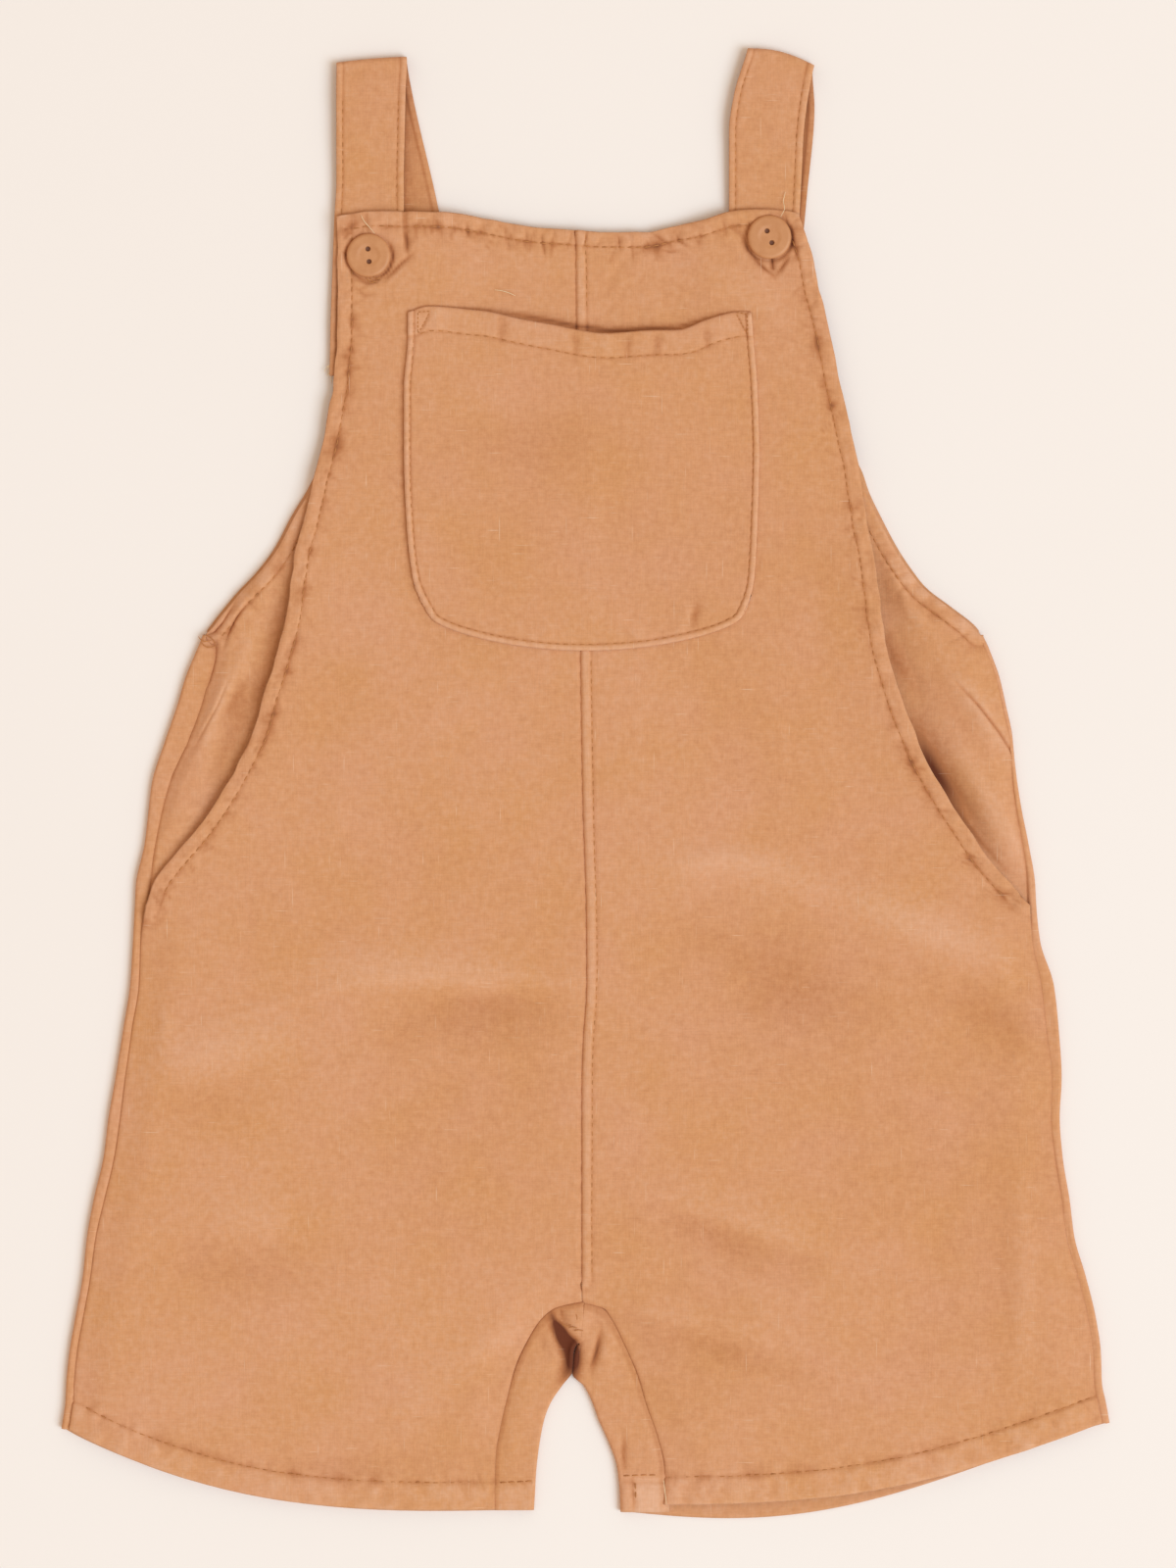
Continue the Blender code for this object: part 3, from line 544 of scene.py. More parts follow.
frontPanels = {
    "front_left": {
        "side": 1, "open": freeEdgeLeft, "seam": sideLeft, "leg": inseamLeft, "seed": 33,
        "hemDown": 1457.0, "hemBow": 32.0, "bowPower": 0.85, "stand": 1.0,
        "flat": (0.177, 0.441), "area": 0.0548},
    "front_right": {
        "side": -1, "open": freeEdgeRight, "seam": sideRight, "leg": inseamRight, "seed": 50,
        "hemDown": 1451.0, "hemBow": 25.0, "bowPower": 1.0, "stand": 1.7,
        "flat": (0.180, 0.441), "area": 0.0553},
    "rows": 398, "columns": 112, "headLength": 100.0, "headRows": 64, "endLength": 40.0, "endRows": 16,
    # A row joins one place down the outer edge to one down the inner edge; these are where the slant changes
    "outerKnots": (219, 300, 1262, 1300, 1326, 1345, 1366, 1380, 1395, 1410, 1420, 1430, 1438, 1445),
    "innerKnots": (236, 300, 1262, 1300),
    "corner": 922.0, "bibEnd": 300.0, "legStart": 1262.0, "pull": 0.55, "waver": 1.1,
    "sag": 1.1, "settle": 0.9, "settleWidth": 13.3,
    "creaseDyeAndShade": 0.42, "rippleDyeAndShade": 0.3, "tuckDyeAndShade": 1.5,   # wear and painted shade for each mm of height
}
seams = {
    "sideGroove": 0.42, "centreGroove": 0.45, "sideDye": 0.35, "centreDye": 0.4,
    "tremble": 0.08, "trembleLength": 5.6,                 # mm, the small waves beside the centre seam
    "allowance": 3.5, "raise": 0.36, "stitchGroove": 0.34,   # mm from the seam to its stitches, and heights
    "raiseDye": 0.3, "stitchDye": 0.8,
}
buttonWells = {
    "centres": ((377.0, 262.0), (784.5, 243.5)),
    "slots": (((377, 249), (377, 279)), ((785, 240), (788, 275))),
    "depth": 1.0, "radius": 8.4, "drop": 2.0,
    # Middle of each crescent in degrees from the right, downwards; half its angle; its depth
    "crescents": (((0.0, 34.0, 1.0), (48.0, 26.0, 0.8), (178.0, 40.0, 0.8), (120.0, 22.0, 0.5)),
                  ((4.0, 40.0, 1.0), (140.0, 34.0, 0.9), (60.0, 20.0, 0.5), (200.0, 26.0, 0.4))),
    "crescentRadius": 8.1, "crescentWidth": 0.6, "crescentDepth": 0.5, "crescentShade": 2.3,
    "slotDepth": 0.8, "slotLip": 0.25, "slotShade": 2.2, "shadowDepth": 0.6, "shadowDye": 1.4,
}


def frontSurface(panel, across, down):
    # Level of the front's middle: base, settling at the seams, hems, centre seam, wells; and its dye and
    # painted shade
    level, baseDyeAndShade = frontBase(across, down)
    offSeam = nearLine(across, down, panel["seamRoute"])[0]
    offLeg = nearLine(across, down, panel["legRoute"])[0]
    bySeam = (1.0 - ease(offSeam, 0.0, frontPanels["settleWidth"])) * ease(down, 925, 965)
    byLeg = (1.0 - ease(offLeg, 0.0, frontPanels["settleWidth"])) * ease(down, frontPanels["legStart"], 1328)
    level = level + (cloth["upperLevel"] - level) * np.maximum(bySeam, byLeg)
    seed = panel["seed"]
    offOpen, alongOpen = nearLine(across, down, panel["openRoute"])
    offTop, alongTop = nearLine(across, down, panel["topRoute"])
    offHem, alongHem = nearLine(across, down, panel["hemRoute"])
    offCentre, alongCentre = nearLine(across, down, panel["centreRoute"])
    openBand = hemSewing["openBand"]
    topBand = hemSewing["topBand"]
    besideOpen = ease(offOpen, openBand - 0.9, openBand)
    belowTop = ease(offTop, topBand - 0.9, topBand)
    openHem, openDyeAndShade = hemRelief(offOpen, alongOpen, openBand, seed, sewn=belowTop)
    topHem, topDyeAndShade = hemRelief(offTop, alongTop, topBand, seed + 4, 1.05, 0.85, besideOpen)
    legHem, legDyeAndShade = hemRelief(offHem, alongHem, hemSewing["legBand"], seed + 8, 0.7, 1.4)
    relief = np.maximum(openHem, topHem) + legHem
    dyeAndShade = np.minimum(openDyeAndShade, topDyeAndShade) + 0.65 * legDyeAndShade + baseDyeAndShade
    # Midway down, the open edge stands clear of the side piece
    stand = ease(down, 500, 640) * (1.0 - ease(down, 800, 912)) * (1.0 - ease(offOpen, 0.0, 26.0))
    level = level + panel["stand"] * stand
    belowCorner = ease(down, 925, 940)
    relief = relief - seams["sideGroove"] * bell(offSeam, 0.7) * belowCorner
    relief = relief - seams["sideGroove"] * bell(offLeg, 0.7) - seams["centreGroove"] * bell(offCentre, 0.6)
    swing = 3.0 * softNoise(alongCentre, 0.0, 12.0, seed + 12)
    tremble = np.sin(2.0 * math.pi * alongCentre / seams["trembleLength"] + swing)
    relief = relief + seams["tremble"] * tremble * np.exp(-offCentre / 3.5)
    if panel["side"] < 0:
        # The seam allowance is turned to this side and stitched down
        allowance = ease(offCentre, 0.1, 0.9) * (1.0 - ease(offCentre, 3.1, 4.3))
        offStitch = offCentre - seams["allowance"]
        relief = relief + seams["raise"] * allowance - seams["stitchGroove"] * bell(offStitch, 0.55)
        dyeAndShade = dyeAndShade + seams["raiseDye"] * allowance - seams["stitchDye"] * bell(offStitch, 0.6)
    well = np.zeros(relief.shape)
    for centre, crescents in zip(buttonWells["centres"], buttonWells["crescents"]):
        away = np.hypot(across - centre[0], down - centre[1] - buttonWells["drop"]) / unitsPerMm
        well = well - buttonWells["depth"] * np.exp(-(away / buttonWells["radius"]) ** 6)
        radial = np.hypot(across - centre[0], down - centre[1]) / unitsPerMm
        bearing = np.degrees(np.arctan2(down - centre[1], across - centre[0]))
        for middle, half, depth in crescents:
            turned = (bearing - middle + 180.0) % 360.0 - 180.0
            shape = bell(radial - buttonWells["crescentRadius"], buttonWells["crescentWidth"])
            shape = bell(turned, half) * shape
            # Each crescent under the button's rim is sunk a little and painted darker as painted shade
            well = well - buttonWells["crescentDepth"] * depth * shape
            dyeAndShade = dyeAndShade - buttonWells["crescentShade"] * depth * shape
    for slot in buttonWells["slots"]:
        off = nearLine(across, down, np.array(slot, float))[0]
        # Each buttonhole's slot is sunk, with a lip beside it, and painted darker as painted shade
        well = well - buttonWells["slotDepth"] * bell(off, 0.9)
        well = well + buttonWells["slotLip"] * bell(off - 2.0, 0.7)
        dyeAndShade = dyeAndShade - buttonWells["slotShade"] * bell(off, 0.6)
    # The pocket's mouth stands off the bib, which keeps a trough in its shadow, painted darker as painted
    # shadow; so does the bib beside the pocket's left edge
    behind = creaseHeight(across, down, pocketShadow)
    well = well + buttonWells["shadowDepth"] * behind
    dyeAndShade = dyeAndShade + buttonWells["shadowDye"] * behind - seams["sideDye"] * bell(offSeam, 0.8) * belowCorner
    dyeAndShade = dyeAndShade - seams["sideDye"] * bell(offLeg, 0.8) - seams["centreDye"] * bell(offCentre, 0.7)
    return level + relief + well, dyeAndShade


def buildFront(name):
    # Rows run from the bib to the hem between the outer edge and the centre seam or the inseam
    panel = frontPanels[name]
    side = panel["side"]
    leg = panel["leg"]
    outerKnots = np.array([*frontPanels["outerKnots"], panel["hemDown"]])
    innerKnots = np.concatenate([frontPanels["innerKnots"], leg[:, 0]])
    innerAcrossKnots = np.concatenate([edgeAt(centreSeam, frontPanels["innerKnots"]), leg[:, 1]])
    innerStep = np.hypot(np.diff(innerKnots), np.diff(innerAcrossKnots))
    travel = np.concatenate([[0.0], np.cumsum(np.maximum(np.diff(outerKnots), innerStep))])
    head = frontPanels["headLength"]
    headRows = frontPanels["headRows"]
    end = travel[-1] - frontPanels["endLength"]
    endRows = frontPanels["endRows"]
    places = np.concatenate([
        np.linspace(0.0, head, headRows + 1)[:-1],
        np.linspace(head, end, frontPanels["rows"] - headRows - endRows),
        np.linspace(end, travel[-1], endRows + 1)[1:]])
    outerDown = curveAt(travel, outerKnots, places)
    innerDown = curveAt(travel, innerKnots, places)
    split = len(frontPanels["innerKnots"])
    onLeg = places >= travel[split]
    innerAcross = np.where(
        onLeg, curveAt(travel[split:], innerAcrossKnots[split:], places), edgeAt(centreSeam, innerDown))
    innerAcross = innerAcross - side * 0.1
    onSide = outerDown > frontPanels["corner"]
    seamAcross = edgeAt(panel["seam"], outerDown, 2) + side * 0.2
    outerAcross = np.where(onSide, seamAcross, edgeAt(panel["open"], outerDown))
    waver = softNoise(outerDown / unitsPerMm, 0.0, 5.0, panel["seed"] + 15)
    waver = waver * (1.0 - ease(outerDown, 880, 915)) * ease(outerDown, 225, 250)
    outerAcross = outerAcross + frontPanels["waver"] * waver
    share = gathered(frontPanels["columns"], frontPanels["pull"])
    across = between(outerAcross, innerAcross, share)
    down = between(outerDown, innerDown, share)
    bibEnd = frontPanels["bibEnd"]
    topShare = np.clip((bibEnd - outerDown) / (bibEnd - outerDown[0]), 0.0, 1.0)[:, None]
    hemShare = ease(innerDown, frontPanels["legStart"], innerDown[-1])[:, None]
    down = down + hemShare * panel["hemBow"] * np.sin(math.pi * share ** panel["bowPower"])
    topEdge = curveAt(bibTop[:, 0], bibTop[:, 1], across[0])
    down = down + topShare * (topEdge - down[0])[None, :]
    outline = np.stack([across, down], axis=-1)
    panel["openRoute"] = outline[outerDown <= 924, 0][::4]
    panel["seamRoute"] = outline[outerDown >= 915, 0][::6]
    panel["topRoute"] = outline[0, ::3]
    panel["hemRoute"] = outline[-1, ::2]
    panel["centreRoute"] = outline[~onLeg, -1][::8]
    panel["legRoute"] = outline[onLeg, -1][::3]
    level, dyeAndShade = frontSurface(panel, across, down)
    return makeShell(name, (across, down, level), dyeAndShade, frontCloth, flip=side < 0)


frontSheets = {name: buildFront(name) for name in ("front_left", "front_right")}
print("fronts: two halves")


# Side pieces: outlines as in the solids, folds and creases given one by one
sideCreases = [
    (3, 0.8, 236, 686, 222, 722, 205, 768), (2.2, -0.5, 252, 704, 238, 744, 214, 800),
    (2.4, 0.45, 262, 640, 240, 690, 226, 716), (3.4, -0.45, 296, 580, 278, 660, 244, 756),
    (3.4, 1, 968, 684, 996, 722, 1032, 772), (3, -0.3, 946, 672, 968, 712, 1000, 760),
    (2.8, 0.55, 884, 556, 912, 600, 944, 644), (3.6, -0.55, 902, 640, 922, 684, 944, 712),
    (4.2, -0.65, 914, 722, 944, 770, 970, 812, 1010, 866), (3.6, 0.75, 966, 752, 1004, 810, 1042, 880),
    (0.6, -1.6, 972, 694, 996, 719, 1017, 746, 1038, 778),
    (0.6, -1.1, 255, 612, 242, 630, 234, 647, 229, 662),
    (0.6, -1.1, 240, 617, 227, 637, 219, 646, 204, 652), (0.8, -1.5, 221, 658, 218, 676, 213, 698),
    (0.9, 0.45, 214, 648, 224, 652, 226, 662), (0.5, -0.55, 234, 694, 222, 722, 200, 762),
    (1.4, -0.4, 892, 566, 908, 592, 920, 622), (2.2, -0.8, 938, 762, 952, 790, 970, 816),
    (1.6, -0.25, 903, 650, 910, 668, 922, 684), (2.6, -0.4, 250, 692, 240, 716, 232, 730)]
# Painted shade in the hollows beside the fronts' edges, as a change of colour alone
sidePaintedShade = [
    (5.6, -0.8, 926, 726, 948, 766, 968, 802, 992, 840), (2.4, -0.5, 936, 758, 954, 786, 974, 816),
    (1, -0.8, 960, 806, 996, 854, 1034, 896), (2.6, -0.3, 896, 640, 908, 668, 926, 700),
    (2.6, -0.4, 888, 560, 906, 600, 930, 640), (5, -0.15, 296, 580, 272, 664, 240, 750, 196, 836),
    (1.8, -0.55, 250, 690, 238, 716, 222, 750)]
sidePanels = {
    "side_left": {
        "side": 1, "open": freeEdgeLeft, "armhole": armholeLeft, "seam": sideLeft, "seed": 80,
        "hollow": 0.55, "flat": (0.067, 0.146), "area": 0.0035},
    "side_right": {
        "side": -1, "open": freeEdgeRight, "armhole": armholeRight, "seam": sideRight, "seed": 90,
        "hollow": 1.05, "flat": (0.067, 0.146), "area": 0.0042},
    # shade is painted shade beside the front's edge; the seam line is darker; crease troughs darker and
    # ridges paler, partly dye and wash wear, partly painted shade and painted light
    "rows": 230, "columns": 76, "tuck": 28.0, "fromArmhole": 4.0, "swell": 1.5, "shade": 0.2, "settle": 0.9,
    "held": 0.25, "seamGroove": 0.35, "seamDye": 0.9, "troughDyeAndShade": 0.95, "ridgeWearAndLight": 0.5,
}


def sideSurface(panel, across, down):
    # Lowest beside the front's edge, a long swell two thirds of the way out, back to the seam's level; then
    # folds that die out before the sheet goes under the front, and the armhole's hem
    side = panel["side"]
    clear = side * (edgeAt(panel["open"], down) - across)
    beyond = side * (across - np.interp(down, panel["outerDown"], panel["outerAcross"]))
    reach = np.maximum(clear + beyond, 1.0)
    share = clear / reach
    hollow = 1.0 - ease(share, 0.05, 0.5)
    swell = ease(share, 0.1, 0.62) * (1.0 - ease(share, 0.72, 1.0))
    wide = ease(reach, 18.0, 62.0)
    free = ease(clear, 0.0, 20.0)
    level = cloth["upperLevel"] + (sidePanels["swell"] * swell - panel["hollow"] * hollow) * wide
    # Near the corner both sheets settle, this one under the front
    level = level - sidePanels["settle"] * ease(down, 876, frontPanels["corner"])
    creases = creaseHeight(across, down, sideCreases)
    level = level + creases * free + clothRipple(across, down, panel["seed"], 0.8) * free
    level = np.maximum(level, cloth["thickness"] * 1.6)
    off, along = nearLine(across, down, panel["hemRoute"])
    relief, dyeAndShade = hemRelief(off, along, hemSewing["armholeBand"], panel["seed"] + 2, 0.6)
    offSeam = nearLine(across, down, panel["seamRoute"])[0]
    loose = sidePanels["held"] + (1.0 - sidePanels["held"]) * free
    relief = relief * loose - sidePanels["seamGroove"] * bell(offSeam, 0.7)
    # Painted shade along the front's edge, which stands over this sheet
    shade = (1.0 - ease(clear, 0.0, 30.0)) * wide * ease(clear, -14.0, 2.0)
    dyeAndShade = dyeAndShade * loose - sidePanels["seamDye"] * bell(offSeam, 0.8)
    dyeAndShade = dyeAndShade + sidePanels["troughDyeAndShade"] * np.minimum(creases, 0.0)
    dyeAndShade = dyeAndShade + sidePanels["ridgeWearAndLight"] * np.maximum(creases, 0.0) - sidePanels["shade"] * shade
    # Crease troughs darker and ridges paler, partly dye and wash wear, partly painted shade and light; then
    # the painted shade in the hollows
    dyeAndShade = dyeAndShade + creaseHeight(across, down, sidePaintedShade)
    return level + relief, dyeAndShade


def buildSide(name):
    # Rows run down from the armhole between the hemmed edge or the side seam and the tuck under the front
    panel = sidePanels[name]
    side = panel["side"]
    down = np.linspace(482.0, 928.0, sidePanels["rows"])
    outerArm = edgeAt(panel["armhole"], down) + side * sidePanels["fromArmhole"]
    outerSeam = edgeAt(panel["seam"], down, 2) + side * 0.2
    outer = outerArm + (outerSeam - outerArm) * ease(down, 640.0, 656.0)
    inner = edgeAt(panel["open"], down) + side * sidePanels["tuck"]
    across = between(outer, inner, np.linspace(0.0, 1.0, sidePanels["columns"])[None, :])
    lines = np.broadcast_to(down[:, None], across.shape)
    outline = np.stack([across, lines], axis=-1)
    panel["hemRoute"] = outline[down <= 650, 0][::3]
    panel["seamRoute"] = outline[down >= 658, 0][::5]
    panel["outerDown"] = down
    panel["outerAcross"] = outer
    level, dyeAndShade = sideSurface(panel, across, lines)
    return makeShell(name, (across, lines, level), dyeAndShade, sideCloth, flip=side < 0)


sideSheets = {name: buildSide(name) for name in ("side_left", "side_right")}
print("sides: two pieces")


# Backs: a wall on the surface that turns over the side fold and the inner leg fold
legCreases = [
    (3.2, -1.45, 564, 1340, 573, 1362, 582, 1386, 576, 1418),
    (2.2, -1.3, 560, 1348, 572, 1360, 584, 1376, 582, 1396), (4.2, 1, 577, 1338, 590, 1346, 604, 1348),
    (1.7, -1.25, 568, 1362, 579, 1367, 590, 1371), (1, -1, 561, 1336, 567, 1350, 580, 1360),
    (0.8, -0.7, 572, 1332, 574, 1342, 580, 1350), (1.6, -0.6, 553, 1356, 556, 1372, 562, 1388),
    (2.4, 0.5, 558, 1352, 562, 1380, 560, 1402), (3, 0.35, 548, 1372, 538, 1420, 532, 1460),
    (1.1, -1.5, 613, 1358, 609, 1378, 603, 1398), (1.7, -0.9, 589, 1364, 589, 1388, 587, 1412),
    (0.9, -0.45, 604, 1340, 612, 1350, 618, 1366), (2.4, 0.55, 622, 1352, 618, 1374, 616, 1400),
    (0.9, -0.8, 637, 1464, 636, 1482, 638, 1502), (0.8, -0.7, 645, 1508, 646, 1522, 648, 1540),
    (3, 0.3, 656, 1440, 664, 1480, 666, 1506), (2.4, 0.35, 528, 1420, 522, 1460, 522, 1500)]
backPanels = {
    "back_left": {
        "side": 1, "armhole": armholeLeft, "seam": sideLeft, "leg": legLeft, "seed": 120,
        "hemDown": 1457.0, "hemBow": 35.0, "bowPower": 0.85, "flat": (0.178, 0.382), "area": 0.0560},
    "back_right": {
        "side": -1, "armhole": armholeRight, "seam": sideRight, "leg": legRight, "seed": 140,
        "hemDown": 1451.0, "hemBow": 36.0, "bowPower": 1.25, "flat": (0.182, 0.384), "area": 0.0575},
    "bodyRows": 138, "legRows": 64, "wallColumns": 44, "arcSteps": 10, "sideStrip": 7, "legStrip": 16,
    "centre": 593.0, "crotch": 1366.0, "foldStart": 648.0, "underHem": 1540.0, "deepest": 1.25,
    "legKnots": (1356, 1366, 1380, 1395, 1410, 1420, 1430, 1435, 1439, 1443, 1447),
    # Each strip goes on under its neighbour at the seam, in mm beyond it, at these levels
    "tuckOffs": (0.3, 0.8, 2.0), "tuckLevels": (1.55, 1.2, 1.08),
}


def foldNormal(across, down, inward):
    # Unit normal of a fold line, turned towards the panel
    runAcross = np.gradient(across)
    runDown = np.gradient(down)
    length = np.hypot(runAcross, runDown)
    return inward * runDown / length, -inward * runAcross / length


def foldArc(across, down, normalAcross, normalDown, radius, low):
    # Half circle from the floor layer round to the upper layer
    turn = np.linspace(-math.pi / 2.0, math.pi / 2.0, backPanels["arcSteps"] + 1)[None, :]
    reach = radius * np.cos(turn) * unitsPerMm
    arcAcross = across[:, None] - normalAcross[:, None] * reach
    arcDown = down[:, None] - normalDown[:, None] * reach
    return arcAcross, arcDown, low + radius * (1.0 + np.sin(turn)) + 0.0 * arcAcross


def buildBack(name):
    # One row is: side strip, side arc, wall on the surface, leg arc, leg strip; a mask drops what isn't there
    panel = backPanels[name]
    side = panel["side"]
    low = cloth["thickness"] / 2.0
    high = cloth["upperLevel"] - 0.15
    radius = (high - low) / 2.0
    inset = (radius + cloth["thickness"] / 2.0) * unitsPerMm
    foldStart = backPanels["foldStart"]
    body = np.concatenate([
        np.linspace(402.0, foldStart, 50), np.linspace(foldStart + 2.5, 1345.0, backPanels["bodyRows"])])
    legKnots = np.array([*backPanels["legKnots"], panel["hemDown"]])
    knotCount = np.arange(len(legKnots))
    legPlaces = np.linspace(0.0, knotCount[-1], backPanels["legRows"])
    legDown = curveAt(knotCount, legKnots, legPlaces)
    outerDown = np.concatenate([body, legDown])
    firstLeg = len(body)
    isFold = outerDown >= foldStart
    foldAcross = edgeAt(panel["seam"], outerDown)
    normalAcross, normalDown = foldNormal(foldAcross, outerDown, side)
    outAcross = np.where(isFold, foldAcross + normalAcross * inset, edgeAt(panel["armhole"], outerDown))
    outDown = np.where(isFold, outerDown + normalDown * inset, outerDown)
    leg = np.stack([curveAt(knotCount, panel["leg"][:, i], legPlaces) for i in range(4)], axis=-1)
    legNormalAcross, legNormalDown = foldNormal(leg[:, 0], leg[:, 1], -side)
    legAcross = leg[:, 0] + legNormalAcross * inset
    legMid = leg[:, 1] + legNormalDown * inset
    bodyInner = body + (backPanels["crotch"] - 4.0 - body[-1]) * ease(body, 1200.0, 1345.0)
    bodyInner = np.minimum(bodyInner, legMid[0] - 1.0)
    inAcross = np.concatenate([np.full(firstLeg, backPanels["centre"] - side * 0.2), legAcross])
    inDown = np.concatenate([bodyInner, legMid])
    share = np.linspace(0.0, 1.0, backPanels["wallColumns"])[None, :]
    wallAcross = between(outAcross, inAcross, share)
    wallDown = between(outDown, inDown, share)
    hemShare = ease(outerDown, frontPanels["legStart"], outerDown[-1])[:, None]
    wallDown = wallDown + hemShare * panel["hemBow"] * np.sin(math.pi * share ** panel["bowPower"])
    wallLevel = np.full(wallAcross.shape, low)
    arcAcross, arcDown, arcLevel = foldArc(outAcross, outDown, normalAcross, normalDown, radius, low)
    seamAcross = edgeAt(panel["seam"], outerDown, 2)
    strip = np.linspace(0.0, 1.0, backPanels["sideStrip"] + 1)[None, 1:]
    stripAcross = between(outAcross, seamAcross, strip)
    stripDown = between(outDown, outerDown, strip)
    swell = 0.25 * softNoise(stripDown / unitsPerMm, stripAcross / unitsPerMm, 9.0, panel["seed"])
    stripLevel = high + swell * np.sin(math.pi * strip) - 0.3 * strip ** 3
    tuck = np.array(backPanels["tuckOffs"])[None, :] * unitsPerMm
    tuckLevel = np.broadcast_to(np.array(backPanels["tuckLevels"])[None, :], (len(outerDown), tuck.shape[1]))
    stripAcross = np.hstack([stripAcross, seamAcross[:, None] + side * tuck])
    stripDown = np.hstack([stripDown, outerDown[:, None] + 0.0 * tuck])
    stripLevel = np.hstack([stripLevel, tuckLevel])
    rowCount = len(outerDown)
    arcCount = backPanels["arcSteps"]
    legArc = np.zeros((3, rowCount, arcCount + 1))
    legArc[:, firstLeg:] = np.stack(foldArc(legAcross, legMid, legNormalAcross, legNormalDown, radius, low))
    legCount = backPanels["legStrip"]
    legStrip = np.zeros((3, rowCount, legCount + tuck.shape[1]))
    legShare = np.linspace(0.0, 1.0, legCount + 1)[None, 1:]
    spanAcross = leg[:, 2] - legAcross
    spanDown = leg[:, 3] - legMid
    span = np.hypot(spanAcross, spanDown)
    legStrip[0, firstLeg:, :legCount] = between(legAcross, leg[:, 2], legShare)
    legStrip[1, firstLeg:, :legCount] = between(legMid, leg[:, 3], legShare)
    legStrip[0, firstLeg:, legCount:] = leg[:, 2:3] + (spanAcross / span)[:, None] * tuck
    legStrip[1, firstLeg:, legCount:] = leg[:, 3:4] + (spanDown / span)[:, None] * tuck
    folds = creaseHeight(legStrip[0], legStrip[1], legCreases)
    # Troughs can't go deeper than the layer below, and every crease ends at the fold and at the seam
    deepest = backPanels["deepest"]
    held = np.where(folds < 0.0, deepest * np.tanh(folds / deepest), folds)[:, :legCount]
    held = held * np.sin(math.pi * np.clip(legShare, 0.03, 0.97)) ** 0.4
    # At the crotch the left strip goes on under the right one
    under = ease(legStrip[0, :, :legCount], 594.0, 598.0) * (side > 0)
    legStrip[2, :, :legCount] = high + held - 0.3 * legShare ** 4 - 0.85 * under
    legStrip[2, :, legCount:] = tuckLevel
    across = np.hstack([stripAcross[:, ::-1], arcAcross[:, :0:-1], wallAcross, legArc[0][:, 1:], legStrip[0]])
    down = np.hstack([stripDown[:, ::-1], arcDown[:, :0:-1], wallDown, legArc[1][:, 1:], legStrip[1]])
    level = np.hstack([stripLevel[:, ::-1], arcLevel[:, :0:-1], wallLevel, legArc[2][:, 1:], legStrip[2]])
    shown = np.zeros((rowCount - 1, across.shape[1] - 1), bool)
    firstWall = stripAcross.shape[1] + arcCount
    lastWall = firstWall + backPanels["wallColumns"] - 1
    shown[:, firstWall:lastWall] = True
    shown[:, :firstWall] = isFold[:-1, None]
    shown[firstLeg:, lastWall:] = True
    # The leg strip's hem: a raised end with a groove at its stitches
    fromHem = np.zeros(across.shape)
    fromHem[:, lastWall:] = (backPanels["underHem"] - down[:, lastWall:]) / unitsPerMm
    onStrip = np.zeros(across.shape)
    onStrip[firstLeg:, lastWall + arcCount:] = 1.0
    relief = onStrip * (0.25 * (1.0 - ease(fromHem, 8.4, 9.6)) - 0.3 * bell(fromHem - 9.2, 0.6))
    # The leg strip's creases are painted darker as painted shade, deepest in the hollow at the crotch,
    # and its ridges a touch paler; the hem's raised end is paler and its groove darker; where each strip
    # goes on under its neighbour at a seam it is painted darker as painted shade
    dyeAndShade = relief * 1.2
    folds = creaseHeight(across[:, lastWall:], down[:, lastWall:], legCreases)
    dyeAndShade[:, lastWall:] += 1.5 * np.minimum(folds, 0.0) + 0.1 * np.maximum(folds, 0.0)
    # The right leg's hem has rubbed pale beside its inner corner
    dyeAndShade = dyeAndShade + 0.55 * onStrip * (across > 647) * (across < 700) * ease(down, 1504, 1510)
    dyeAndShade[:, lastWall + arcCount + legCount - 1:] -= 0.5
    dyeAndShade[:, :tuck.shape[1] + 1] -= 0.5
    return makeShell(name, (across, down, level + relief), dyeAndShade, backCloth, shown, side < 0)


backSheets = {name: buildBack(name) for name in ("back_left", "back_right")}
print("backs: two halves")


